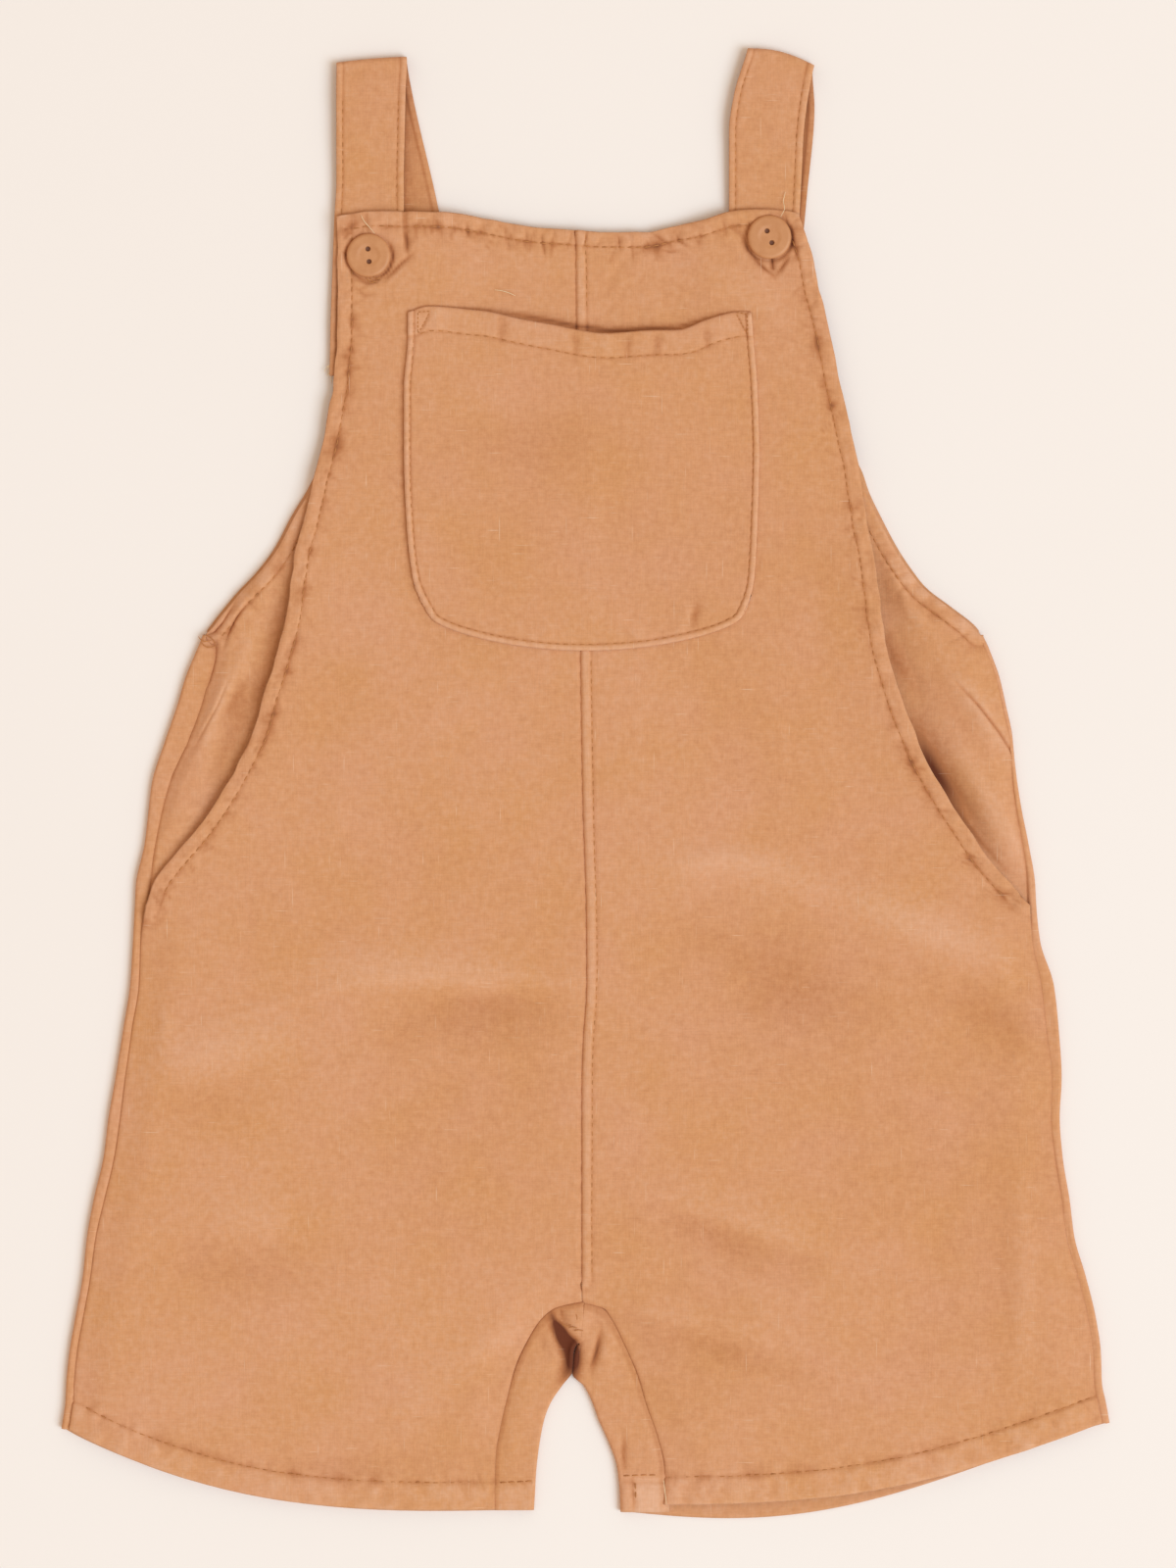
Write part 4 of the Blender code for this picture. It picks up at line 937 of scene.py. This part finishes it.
# Patch pocket: the bib's own surface moved out, with turned edges and a slack mouth
pocket = {
    "rows": 172, "columns": 176, "belly": 36.0, "gap": 0.12, "gape": 0.95, "edgeBand": 1.9, "mouthBand": 8.3,
    "pull": 0.86, "rope": 0.07, "turned": 0.34, "edgeGroove": 0.26, "mouthRaise": 0.2, "mouthGroove": 0.22,
    "sides": np.array([
        (320, 417, 766), (346, 417, 768), (397, 413, 772), (463, 413, 774), (540, 416, 772),
        (591, 422, 769), (610, 429, 765), (628, 439, 757)]),
    "mouth": np.array([
        (0.0, 0), (0.06, -6), (0.2, -2), (0.34, 8), (0.43, 13), (0.5, 18), (0.59, 22),
        (0.68, 20), (0.79, 18), (0.87, 8), (0.98, -1), (1.0, 0)]),
    "creases": [
        (0.5, -0.36, 440, 318, 434, 331, 427, 344), (0.5, -0.36, 750, 319, 756, 332, 763, 345),
        (0.5, -0.3, 427, 320, 434, 319, 441, 318), (0.5, -0.3, 749, 320, 756, 321, 763, 322),
        (1.6, 0.28, 445, 314, 446, 340), (1.4, -0.3, 514, 322, 512, 352), (1.5, -0.32, 587, 336, 589, 366),
        (1.6, 0.3, 617, 340, 619, 368), (1.2, -0.34, 643, 342, 639, 368), (1.4, -0.34, 673, 340, 668, 366),
        (1.4, -0.28, 720, 332, 722, 358), (1.8, 0.35, 700, 618, 694, 640, 690, 652),
        (1.4, -0.35, 712, 612, 706, 642), (1.6, 0.22, 650, 632, 652, 656),
        (3.4, 0.2, 612, 440, 606, 520, 604, 640), (1.6, 0.2, 560, 632, 556, 652),
        (9, -0.07, 470, 430, 540, 452, 640, 446), (7, 0.2, 450, 404, 520, 410)],
    "flat": (0.121, 0.117), "area": 0.0129,
}


def pocketSurface(across, down):
    # The bib's base, one cloth and a small gap up, a gaping mouth, its creases and its turned edges
    level, baseDyeAndShade = frontBase(across, down)
    level = level + cloth["thickness"] + pocket["gap"]
    offEdge, alongEdge = nearLine(across, down, pocket["edgeRoute"])
    offMouth = nearLine(across, down, pocket["mouthRoute"])[0]
    gape = (1.0 - ease(offMouth, 0.0, 24.0)) * ease(offEdge, 0.0, 42.0)
    creases = creaseHeight(across, down, pocket["creases"])
    swing = softNoise(alongEdge, 0.0, 10.0, 200)
    ropes = pocket["rope"] * np.sin(2.0 * math.pi * (alongEdge + offEdge) / 4.6 + 2.5 * swing)
    pastEdge = offEdge - pocket["edgeBand"]
    pastMouth = offMouth - pocket["mouthBand"]
    inEdge = 1.0 - ease(pastEdge, -0.5, 0.4)
    inMouth = 1.0 - ease(pastMouth, -0.9, 0.4)
    turned = pocket["turned"]
    relief = creases + (turned + ropes) * inEdge - turned * (1.0 - ease(offEdge, 0.0, 0.7))
    relief = relief - pocket["edgeGroove"] * bell(pastEdge, 0.5)
    waves = pocket["rope"] * np.sin(2.0 * math.pi * alongEdge / 5.0 + 3.0 * swing)
    relief = relief + waves * np.exp(-np.clip(pastEdge, 0.0, None) / 2.6) * (1.0 - inEdge)
    relief = relief + pocket["mouthRaise"] * inMouth - turned * (1.0 - ease(offMouth, 0.0, 0.9))
    relief = relief - pocket["mouthGroove"] * bell(pastMouth, 0.5)
    # Turned edges and mouth band paler, stitch grooves darker; crease troughs much darker and ridges paler,
    # partly dye and wash wear, partly painted shade and painted light
    dyeAndShade = baseDyeAndShade + 0.12 * inMouth + 0.4 * inEdge - 0.9 * bell(pastEdge, 0.5)
    dyeAndShade = dyeAndShade - 0.6 * bell(pastMouth, 0.5) + 2.6 * np.minimum(creases, 0.0)
    dyeAndShade = dyeAndShade + 0.5 * np.maximum(creases, 0.0)
    return level + pocket["gape"] * gape + relief, dyeAndShade


def buildPocket():
    # Rows from the mouth to the rounded bottom, the columns drawn together at both sides
    down = np.linspace(320.0, 628.0, pocket["rows"])
    left = edgeAt(pocket["sides"], down)
    right = edgeAt(pocket["sides"], down, 2)
    share = gathered(pocket["columns"], pocket["pull"])
    across = between(left, right, share)
    mouth = curveAt(pocket["mouth"][:, 0], pocket["mouth"][:, 1], share)
    mouth = mouth + 1.5 * softNoise(share * 118.0, 0.0, 11.0, 210) * np.sin(math.pi * share)
    lines = down[:, None] + mouth * (1.0 - ease(down, 320, 430))[:, None]
    lines = lines + pocket["belly"] * np.sin(math.pi * share) ** 0.6 * ease(down, 400, 628)[:, None]
    outline = np.stack([across, lines], axis=-1)
    pocket["mouthRoute"] = outline[0, ::3]
    pocket["edgeRoute"] = np.concatenate([outline[::4, 0], outline[-1, 1:-1:2], outline[::-4, -1]])
    level, dyeAndShade = pocketSurface(across, lines)
    return makeShell("bib_pocket", (across, lines, level), dyeAndShade, pocketCloth)


pocketSheet = buildPocket()
print("pocket")


# Straps: left across, down, right across, down, level, from the end behind the bib up to the fold
straps = {
    "strap_left": {
        "front": np.array([
            (337, 384, 410, 383, 1.9), (338, 330, 411, 330, 1.9), (340, 275, 412, 275, 1.9),
            (342, 222, 412, 222, 1.9), (344, 185, 412, 184, 2.4), (344, 135, 413, 133, 2.9),
            (344, 95, 414, 91, 3.2)]),
        "top": (344, 66, 415, 60), "bulge": 1.0, "seed": 220,
        "back": [(346, 100, 421, 97), (361, 200, 444, 197), (386, 300, 465, 298), (413, 397, 487, 397)],
    },
    "strap_right": {
        "front": np.array([
            (742, 384, 811, 382, 1.9), (742, 330, 812, 330, 1.9), (743, 275, 813, 275, 1.9),
            (744, 222, 815, 222, 1.9), (744, 180, 817, 184, 2.4), (744, 135, 819, 140, 2.9),
            (749, 98, 823, 105, 3.2)]),
        "top": (763, 51.5, 830, 68.5), "bulge": 5.0, "seed": 240,
        "back": [(758, 105, 831, 110), (747, 200, 823, 203), (738, 300, 814, 300), (731, 397, 805, 397)],
    },
    "thickness": 0.9, "step": 3.2, "columns": 40, "stitchIn": 2.1, "arcSteps": 16, "foldRows": 24,
    "backRows": 112, "pull": 0.5, "flat": (0.025, 0.232),
    "raise": 0.16, "edge": 0.3, "groove": 0.22, "rope": 0.07, "crumple": 0.09, "twist": 0.12,   # mm
    "grooveDye": 0.7, "shade": 0.25, "deepShade": 0.95,
}


def strapPath(strap):
    # Knots of the band: its front rows, a half circle at the fold, its back rows; then one smooth curve
    front = strap["front"]
    low = straps["thickness"] / 2.0
    top = strap["top"]
    radius = (front[-1, 4] - low) / 2.0
    turn = np.linspace(math.pi / 2.0, -math.pi / 2.0, straps["arcSteps"] + 1)
    run = np.array([top[2] - top[0], top[3] - top[1]])
    outward = np.array([run[1], -run[0]]) / math.hypot(run[0], run[1])
    reach = (radius * np.cos(turn) - radius) * unitsPerMm
    arc = [top[i] + outward[i % 2] * reach for i in range(4)]
    arc = np.stack([*arc, low + radius * (1.0 + np.sin(turn))], axis=-1)
    back = np.column_stack([strap["back"], np.full(len(strap["back"]), low)])
    knots = np.vstack([front, arc, back])
    middle = np.column_stack([(knots[:, :2] + knots[:, 2:4]) / 2.0, knots[:, 4] * unitsPerMm])
    travel = np.concatenate([[0.0], np.cumsum(np.linalg.norm(np.diff(middle, axis=0), axis=1))])
    arcStart = travel[len(front)]
    arcEnd = travel[len(front) + len(arc) - 1]
    places = np.concatenate([
        np.arange(0.0, arcStart, straps["step"]), np.linspace(arcStart, arcEnd, straps["foldRows"])[:-1],
        np.linspace(arcEnd, travel[-1], straps["backRows"])])
    path = np.stack([curveAt(travel, knots[:, i], places) for i in range(5)], axis=-1)
    return path, places, (arcStart + arcEnd) / 2.0


def buildStrap(name):
    # Each row is a straight line across the band; relief rounds its two edges and sinks its two stitch lines
    strap = straps[name]
    path, places, fold = strapPath(strap)
    share = gathered(straps["columns"], straps["pull"])
    across = between(path[:, 0], path[:, 2], share)
    down = between(path[:, 1], path[:, 3], share)
    nearFold = bell(places - fold, 60.0)[:, None]
    down = down - strap["bulge"] * np.sin(math.pi * share) * nearFold
    width = np.hypot(path[:, 2] - path[:, 0], path[:, 3] - path[:, 1])[:, None] / unitsPerMm
    off = np.minimum(share, 1.0 - share) * width
    along = places[:, None] / unitsPerMm + 0.0 * share
    swing = softNoise(along, share * 3.0, 7.0, strap["seed"])
    inEdge = 1.0 - ease(off, straps["stitchIn"] - 0.6, straps["stitchIn"] + 0.4)
    groove = bell(off - straps["stitchIn"], 0.5)
    relief = straps["raise"] * inEdge - straps["edge"] * (1.0 - ease(off, 0.0, 0.8))
    relief = relief - straps["groove"] * groove
    rope = np.sin(2.0 * math.pi * along / 4.4 + 3.0 * swing)
    relief = relief + straps["rope"] * rope * bell(off - 1.8, 1.8)
    relief = relief + straps["crumple"] * softNoise(along, share * width, 4.5, strap["seed"] + 2)
    relief = relief + straps["twist"] * softNoise(along, share * width * 0.3, 12.0, strap["seed"] + 3)
    # Relief counts only on the upper stretch; the lower one lies flat on the surface
    upper = 1.0 - ease(places, fold - 4.0, fold + 4.0)[:, None]
    level = path[:, 4:5] + relief * upper + 0.0 * share
    strap["grid"] = (across, down, level, places)
    # Edges paler, stitch grooves darker, and the low parts of the relief painted darker as painted shade
    dyeAndShade = 0.12 * inEdge - straps["grooveDye"] * groove + 0.5 * np.minimum(relief, 0.0)
    # The lower stretch is painted darker as painted shade of the upper one, deepest beside its edge
    front = strap["front"][np.argsort(strap["front"][:, 1])]
    beside = np.maximum(across - np.interp(down, front[:, 3], front[:, 2]), 0.0) / unitsPerMm
    dyeAndShade = dyeAndShade - (1.0 - upper) * (straps["shade"] + straps["deepShade"] * np.exp(-beside / 2.4))
    grid = (across, down, level)
    return makeShell(name, grid, dyeAndShade, strapCloth, thickness=straps["thickness"])


strapSheets = {name: buildStrap(name) for name in ("strap_left", "strap_right")}
print("straps: two")


# Buttons: a turned disc whose top is a function of radius, with two holes sunk into it
buttons = {
    "button_left": {"centre": (376.6, 262.0), "turn": 5.0},
    "button_right": {"centre": (784.6, 243.3), "turn": 22.0},
    "radius": 7.4, "height": 2.0, "dishRadius": 3.5, "dishDepth": 0.28, "holeRadius": 0.8, "holeSpread": 2.15,
    "rings": 64, "steps": 96, "bottom": 3.25, "rim": 1.2, "dishSlope": 0.8, "holeSlope": 0.14,
    "holeShare": 0.4,
}


def buttonMaterial():
    # Polyester button resin, tumbled and dyed with the garment: satin, a touch yellower than the cloth;
    # dark brown inside the two holes as painted shade
    material, tree, shader, coordinates = startMaterial("dyed_polyester_button", 0.58)
    grain = noise(tree, coordinates, 260.0, 4.0, 0.6)
    colour = mixColour(tree, ramp(tree, grain, 0.35, 0.65), linear("#C08150"), linear("#C98B5A"))
    # Painted shade: dark brown where the holes sink
    depth = addNode(tree, "ShaderNodeAttribute", {"attribute_name": "wearAndShade"}).outputs["Fac"]
    colour = mixColour(tree, depth, colour, linear("#6E3C20"))
    tree.links.new(colour, shader.inputs["Base Color"])
    addBump(tree, shader, grain, 0.12, 0.0001)
    shader.inputs["IOR"].default_value = 1.54
    return material


buttonResin = buttonMaterial()


def buildButton(name):
    # Polar grid: out over the top from the centre, round the rim, and back in under it
    spot = buttons[name]
    radius = buttons["radius"]
    height = buttons["height"]
    ringTop = np.linspace(0.0, 1.0, buttons["rings"]) * (radius - buttons["rim"])
    rim = np.linspace(0.0, math.pi, 14)[1:-1]
    rimRadius = radius - buttons["rim"] + buttons["rim"] * np.sin(rim)
    rimLevel = height / 2.0 + (height / 2.0) * np.cos(rim)
    under = np.linspace(radius - buttons["rim"], 0.0, 5)
    profile = np.concatenate([ringTop, rimRadius, under])
    angle = np.linspace(0.0, 2.0 * math.pi, buttons["steps"], endpoint=False)[None, :]
    x = profile[:, None] * np.cos(angle)
    y = profile[:, None] * np.sin(angle)
    dish = -buttons["dishDepth"] * (1.0 - ease(
        ringTop, buttons["dishRadius"] - buttons["dishSlope"], buttons["dishRadius"] + buttons["dishSlope"]))
    topLevel = (height + dish)[:, None] + 0.0 * angle
    depth = np.zeros(x.shape)
    for sign in (-1.0, 1.0):
        away = np.hypot(x[:len(ringTop)], y[:len(ringTop)] - sign * buttons["holeSpread"])
        sunk = 1.0 - ease(
            away, buttons["holeRadius"] - buttons["holeSlope"], buttons["holeRadius"] + buttons["holeSlope"])
        topLevel = topLevel * (1.0 - buttons["holeShare"] * sunk)
        depth[:len(ringTop)] = np.maximum(depth[:len(ringTop)], sunk)
    level = np.vstack([topLevel, rimLevel[:, None] + 0.0 * angle, np.zeros((len(under), buttons["steps"]))])
    turn = math.radians(spot["turn"])
    turnedX = x * math.cos(turn) - y * math.sin(turn)
    turnedY = x * math.sin(turn) + y * math.cos(turn)
    centre = place(*spot["centre"], buttons["bottom"])
    points = np.stack([turnedX, turnedY, level], axis=-1) * 0.001 + centre
    # The first and last rings are single points, so their doubles go
    count, steps = points.shape[:2]
    ring = np.arange((count - 2) * steps).reshape(count - 2, steps) + 1
    following = np.roll(ring, -1, axis=1)
    quads = np.stack([ring[:-1], ring[1:], following[1:], following[:-1]], axis=-1).reshape(-1, 4)
    last = ring.size + 1
    caps = [(0, int(a), int(b)) for a, b in zip(ring[0], following[0])]
    caps += [(last, int(b), int(a)) for a, b in zip(ring[-1], following[-1])]
    vertices = np.vstack([points[0, :1], points[1:-1].reshape(-1, 3), points[-1, :1]])
    # The holes' mask goes to the material as painted shade inside them
    wearAndShade = np.concatenate([[0.0], depth[1:-1].ravel(), [0.0]])
    button = makeMesh(name + "_disc", vertices.tolist(), quads.tolist() + caps, buttonResin, wearAndShade)
    button.data.set_sharp_from_angle(angle=math.radians(55))
    return dress(button, name)


for name in ("button_left", "button_right"):
    buildButton(name)
print("buttons: two")


# Sewing: every stitch is a small capsule whose ends sink into the cloth
sewing = {
    "length": 2.3, "gap": 0.6, "radius": 0.2, "sink": 0.2, "proud": 0.06, "ringSides": 6,   # mm, and sides
    "halfCloth": cloth["thickness"] / 2.0, "threadSteps": 24,
}


def stitchEnds(route, surface, length=sewing["length"], gap=sewing["gap"], half=sewing["halfCloth"]):
    # Even lengths cut from a route, with a gap between; each end takes the level of the cloth's face there
    length = length * unitsPerMm
    gap = gap * unitsPerMm
    steps = np.hypot(*np.diff(route, axis=0).T)
    travel = np.concatenate([[0.0], np.cumsum(steps)])
    starts = np.arange(gap, travel[-1] - length, length + gap)
    ends = []
    for places in (starts, starts + length):
        across = np.interp(places, travel, route[:, 0])
        down = np.interp(places, travel, route[:, 1])
        ends.append(place(across, down, surface(across, down) + half))
    return ends


def makeTubes(name, rings, poles, material):
    # Many closed tubes in one mesh: rings is tube x ring x side x 3, poles is tube x 2 x 3
    count, ringCount, sides = rings.shape[:3]
    vertices = np.concatenate([rings.reshape(count, -1, 3), poles], axis=1)
    ring = np.arange(ringCount * sides).reshape(ringCount, sides)
    following = np.roll(ring, -1, axis=1)
    quads = np.stack([ring[:-1], following[:-1], following[1:], ring[1:]], axis=-1).reshape(-1, 4)
    first = np.full(sides, ringCount * sides)
    caps = np.concatenate([
        np.stack([first, following[0], ring[0]], axis=-1),
        np.stack([first + 1, ring[-1], following[-1]], axis=-1)])
    shift = (np.arange(count) * vertices.shape[1])[:, None, None]
    faces = (quads[None] + shift).reshape(-1, 4).tolist() + (caps[None] + shift).reshape(-1, 3).tolist()
    thread = makeMesh(name, vertices.reshape(-1, 3).tolist(), faces, material)
    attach(thread, "root")
    return thread


def makeStitches(name, runs):
    # Capsule points = middle + direction x half length x u + side x radius x cos v + up x radius x sin v,
    # and the ends drop by the sink x u squared
    starts = np.vstack([run[0] for run in runs])
    ends = np.vstack([run[1] for run in runs])
    middle = (starts + ends) / 2.0
    half = (ends - starts) / 2.0
    direction = half / np.linalg.norm(half, axis=1)[:, None]
    sideways = np.cross(direction, (0.0, 0.0, 1.0))
    sideways = sideways / np.linalg.norm(sideways, axis=1)[:, None]
    upward = np.cross(sideways, direction)
    v = np.linspace(0.0, 2.0 * math.pi, sewing["ringSides"], endpoint=False)
    u = np.array([-0.9, -0.45, 0.45, 0.9])
    swell = np.array([0.62, 1.0, 1.0, 0.62])
    radius = sewing["radius"] * 0.001
    sink = sewing["sink"] * 0.001
    proud = sewing["proud"] * 0.001
    points = (
        middle[:, None, None] + half[:, None, None] * u[None, :, None, None]
        + sideways[:, None, None] * (radius * swell[:, None] * np.cos(v))[None, :, :, None]
        + upward[:, None, None] * (radius * swell[:, None] * np.sin(v))[None, :, :, None])
    points[..., 2] += proud - sink * (u ** 2)[None, :, None]
    poles = middle[:, None] + half[:, None] * np.array([-1.05, 1.05])[None, :, None]
    poles[..., 2] += proud - sink * 1.2
    return makeTubes(name, points, poles, sewingThread)


def makeThreads(name, routes, radius, material):
    # Each loose thread is a ring carried along a smooth curve through its few points, narrowing at both ends
    paths = []
    for route in routes:
        knots = np.array(route, float).reshape(-1, 3)
        where = np.linspace(0.0, len(knots) - 1.0, sewing["threadSteps"])
        paths.append(place(*[curveAt(np.arange(len(knots)), knots[:, i], where) for i in range(3)]))
    paths = np.stack(paths)
    tangent = np.gradient(paths, axis=1)
    tangent = tangent / np.linalg.norm(tangent, axis=2)[:, :, None]
    sideways = np.cross(tangent, (0.0, 0.0, 1.0))
    sideways = sideways / np.linalg.norm(sideways, axis=2)[:, :, None]
    upward = np.cross(sideways, tangent)
    v = np.linspace(0.0, 2.0 * math.pi, sewing["ringSides"], endpoint=False)[None, None, :, None]
    swell = np.sin(math.pi * np.linspace(0.08, 0.92, sewing["threadSteps"])) ** 0.4
    swell = (0.001 * radius * swell)[None, :, None, None]
    rings = paths[:, :, None] + swell * (sideways[:, :, None] * np.cos(v) + upward[:, :, None] * np.sin(v))
    tip = 0.0001
    poles = np.stack([paths[:, 0] - tangent[:, 0] * tip, paths[:, -1] + tangent[:, -1] * tip], axis=1)
    return makeTubes(name, rings, poles, material)


def frontRuns(name):
    # Stitch lines of one half: along the open side, the bib top, the leg hem and, on the right, the centre
    panel = frontPanels[name]
    side = panel["side"]
    seed = panel["seed"]

    def face(across, down):
        return frontSurface(panel, across, down)[0]

    # The two rows stop where they meet at the bib's corner
    openLine = offsetRoute(panel["openRoute"], side * hemSewing["openBand"], seed)[:-1]
    topLine = offsetRoute(panel["topRoute"], -side * hemSewing["topBand"], seed + 1)
    openLine = openLine[nearLine(*openLine.T, panel["topRoute"])[0] > hemSewing["topBand"] - 0.3]
    topLine = topLine[nearLine(*topLine.T, panel["openRoute"])[0] > hemSewing["openBand"] - 0.3]
    runs = [
        stitchEnds(openLine, face),
        stitchEnds(topLine, face),
        stitchEnds(offsetRoute(panel["hemRoute"], side * hemSewing["legBand"], seed + 2), face)]
    if side < 0:
        centre = offsetRoute(panel["centreRoute"], seams["allowance"], seed + 3)
        above = centre[centre[:, 1] < 336]
        below = centre[centre[:, 1] > 668]
        runs += [stitchEnds(above, face), stitchEnds(below, face)]
    return runs


def sew(runs, sheets):
    # The stitches of each sheet, by its name
    return {name: makeStitches(name + "_stitches", runs(name)) for name in sheets}


frontStitches = sew(frontRuns, frontSheets)


def sideRuns(name):
    # One row along the hem of the armhole
    panel = sidePanels[name]
    route = offsetRoute(panel["hemRoute"], panel["side"] * hemSewing["armholeBand"], panel["seed"])[1:]
    return [stitchEnds(route, lambda across, down: sideSurface(panel, across, down)[0])]


sideStitches = sew(sideRuns, sideSheets)


def pocketRuns():
    # Round the edge, along the mouth, and the two corner triangles
    def face(across, down):
        return pocketSurface(across, down)[0]

    corners = [
        ((440, 319), (427, 320), (427, 342), (440, 319)),
        ((750, 320), (762, 322), (763, 344), (750, 320))]
    runs = [
        stitchEnds(offsetRoute(pocket["edgeRoute"], pocket["edgeBand"], 300)[1:-1], face, 2.0, 0.8),
        stitchEnds(offsetRoute(pocket["mouthRoute"], -pocket["mouthBand"], 301)[2:-2], face, 2.2, 0.9)]
    return runs + [stitchEnds(np.array(corner, float), face, 1.1, 0.3) for corner in corners]


pocketStitches = makeStitches("bib_pocket_stitches", pocketRuns())


def strapRuns(name):
    # Both edges of the visible front stretch, read from the band's own grid
    across, down, level, places = straps[name]["grid"]
    rows = (down[:, 0] < 232) & (np.arange(len(places)) <= np.argmax(level[:, 0])) & (level[:, 20] > 1.7)
    width = np.hypot(across[:, -1] - across[:, 0], down[:, -1] - down[:, 0]) / unitsPerMm
    runs = []
    for fromLeft in (True, False):
        share = straps["stitchIn"] / width
        share = share if fromLeft else 1.0 - share
        lineAcross = across[:, 0] + (across[:, -1] - across[:, 0]) * share
        lineDown = down[:, 0] + (down[:, -1] - down[:, 0]) * share
        column = 6 if fromLeft else -7
        route = np.stack([lineAcross, lineDown], axis=-1)[rows]
        order = np.argsort(lineDown[rows])
        levels = level[:, column][rows][order]
        downs = lineDown[rows][order]
        runs.append(stitchEnds(
            route, lambda a, d, downs=downs, levels=levels: np.interp(d, downs, levels), 2.0, 0.8,
            straps["thickness"] / 2.0))
    return runs


strapStitches = sew(strapRuns, strapSheets)


def backRuns(name):
    # The hem's stitches go on across each leg strip, and the right one has a short upright row at its corner
    face = cloth["upperLevel"] - 0.02
    rows = {"back_left": [((545, 1510), (530, 1511), (508, 1512))],
            "back_right": [((634, 1505), (655, 1504), (675, 1504)), ((648, 1510), (649, 1524), (648, 1536))]}
    return [stitchEnds(np.array(row, float), lambda a, d: face + 0.0 * a, 2.2, 0.7) for row in rows[name]]


backStitches = sew(backRuns, backSheets)
print("sewing: every stitched edge")

# Loose ends: across, down and height above the surface in mm
looseEnds = {
    "undyed": [
        (369, 221, 4.4, 372, 227, 5, 378, 234, 4.8, 383, 240, 5.2),
        (801, 197, 3, 799, 207, 3.5, 800, 214, 4.6, 796, 223, 4.9),
        (505, 297, 4, 512, 298, 4.4, 519, 300, 4.4, 526, 303, 4),
        (677, 1509, 3.1, 678, 1517, 3.4, 679, 1526, 3.4, 680, 1534, 3.1)],
    "frayed": [
        (339, 370, 2, 336, 375, 1.6, 335, 382, 1.1), (341, 374, 1.9, 337, 380, 1.4, 334, 384, 1),
        (340, 379, 1.8, 338, 386, 1.2, 339, 391, 0.8), (338, 372, 1.9, 333, 376, 1.4, 331, 380, 1)],
    "button": [
        (377, 282, 4, 382, 289, 4.5, 389, 287, 4.1), (380, 283, 4.1, 386, 286, 4.6, 389, 283, 4.2),
        (374, 283, 4, 379, 290, 4.4, 385, 290, 4)],
    "crotch": [
        (574, 1350, 3.1, 578, 1352, 3.3, 583, 1351, 3.1), (580, 1354, 3.1, 584, 1353, 3.3, 589, 1354, 3.1),
        (586, 1357, 3.1, 590, 1356, 3.3, 595, 1357, 3.1), (588, 1340, 3.1, 589, 1344, 3.3, 589, 1348, 3.1)],
    "armhole": [
        (203, 650, 2.9, 209, 655, 3.3, 216, 654, 3), (206, 656, 2.8, 213, 661, 3.1, 221, 660, 2.8),
        (211, 648, 2.9, 217, 652, 3.2, 221, 658, 2.9)],
    "radius": 0.12,
}
# Piece, its threads, how much thicker they are, slot, material
looseRows = (
    ("front_loose_threads", "undyed", 1.0, "front_cloth", rawThread),
    ("strap_left_frayed_end", "frayed", 1.0, "strap_cloth", rawThread),
    ("button_left_tuft", "button", 1.3, "front_cloth", sewingThread),
    ("crotch_bar_tack", "crotch", 1.4, "back_cloth", sewingThread),
    ("armhole_corner_tack", "armhole", 1.4, "side_cloth", sewingThread))
for name, routes, thicker, slotName, material in looseRows:
    makeThreads(name, looseEnds[routes], looseEnds["radius"] * thicker, material)
print("loose ends")


# Studio: a plain pale surface, one wide soft light from the lower right, and a pale surround
studio = {
    "floor": "#F2E9E2", "floorCloud": "#F0E6DE", "floorSize": 3.0, "floorLevel": -0.0003,
    "keyPower": 671.0, "keySize": 5.8, "keyPlace": (5.2, -3.0, 6.5), "keyColour": (0.623, 0.821, 1.0),
    "surround": "#FFEBD5", "surroundStrength": 0.72, "cameraHeight": 1.6, "sensor": 36.0,
    "pixelsPerMm": 3.0, "imageHeight": 1600, "centre": (0.00087, -0.00023),
}


def buildStudio():
    # Painted board, matt and even with the faintest clouding; a square lamp turned to the garment's middle;
    # and a camera above it, its lens = sensor x height x pixels per metre / picture height
    material, tree, shader, coordinates = startMaterial("matt_painted_board", 0.8)
    clouds = noise(tree, coordinates, 4.0, 2.0)
    colour = mixColour(tree, clouds, linear(studio["floorCloud"]), linear(studio["floor"]))
    tree.links.new(colour, shader.inputs["Base Color"])
    half = studio["floorSize"] / 2.0
    low = studio["floorLevel"]
    corners = [(-half, -half, low), (half, -half, low), (half, half, low), (-half, half, low)]
    makeMesh("surface", corners, [(0, 1, 2, 3)], material)
    light = bpy.data.lights.new("soft key", "AREA")
    light.shape = "SQUARE"
    light.size = studio["keySize"]
    light.energy = studio["keyPower"]
    light.color = studio["keyColour"]
    key = bpy.data.objects.new("soft key", light)
    key.location = studio["keyPlace"]
    away = -np.array(studio["keyPlace"])
    key.rotation_euler = (
        math.atan2(math.hypot(away[0], away[1]), -away[2]), 0.0, math.atan2(away[1], away[0]) - math.pi / 2.0)
    bpy.context.scene.collection.objects.link(key)
    world = bpy.data.worlds.new("pale surround")
    world.use_nodes = True
    background = world.node_tree.nodes["Background"]
    background.inputs["Color"].default_value = linear(studio["surround"])
    background.inputs["Strength"].default_value = studio["surroundStrength"]
    bpy.context.scene.world = world
    camera = bpy.data.cameras.new("overhead")
    camera.sensor_width = studio["sensor"]
    pixelsPerMetre = studio["pixelsPerMm"] * 1000.0
    camera.lens = studio["sensor"] * studio["cameraHeight"] * pixelsPerMetre / studio["imageHeight"]
    overhead = bpy.data.objects.new("overhead", camera)
    overhead.location = (*studio["centre"], studio["cameraHeight"])
    bpy.context.scene.collection.objects.link(overhead)
    bpy.context.scene.camera = overhead
    bpy.context.scene.view_settings.view_transform = "Standard"


buildStudio()
print("studio: surface, light, camera")
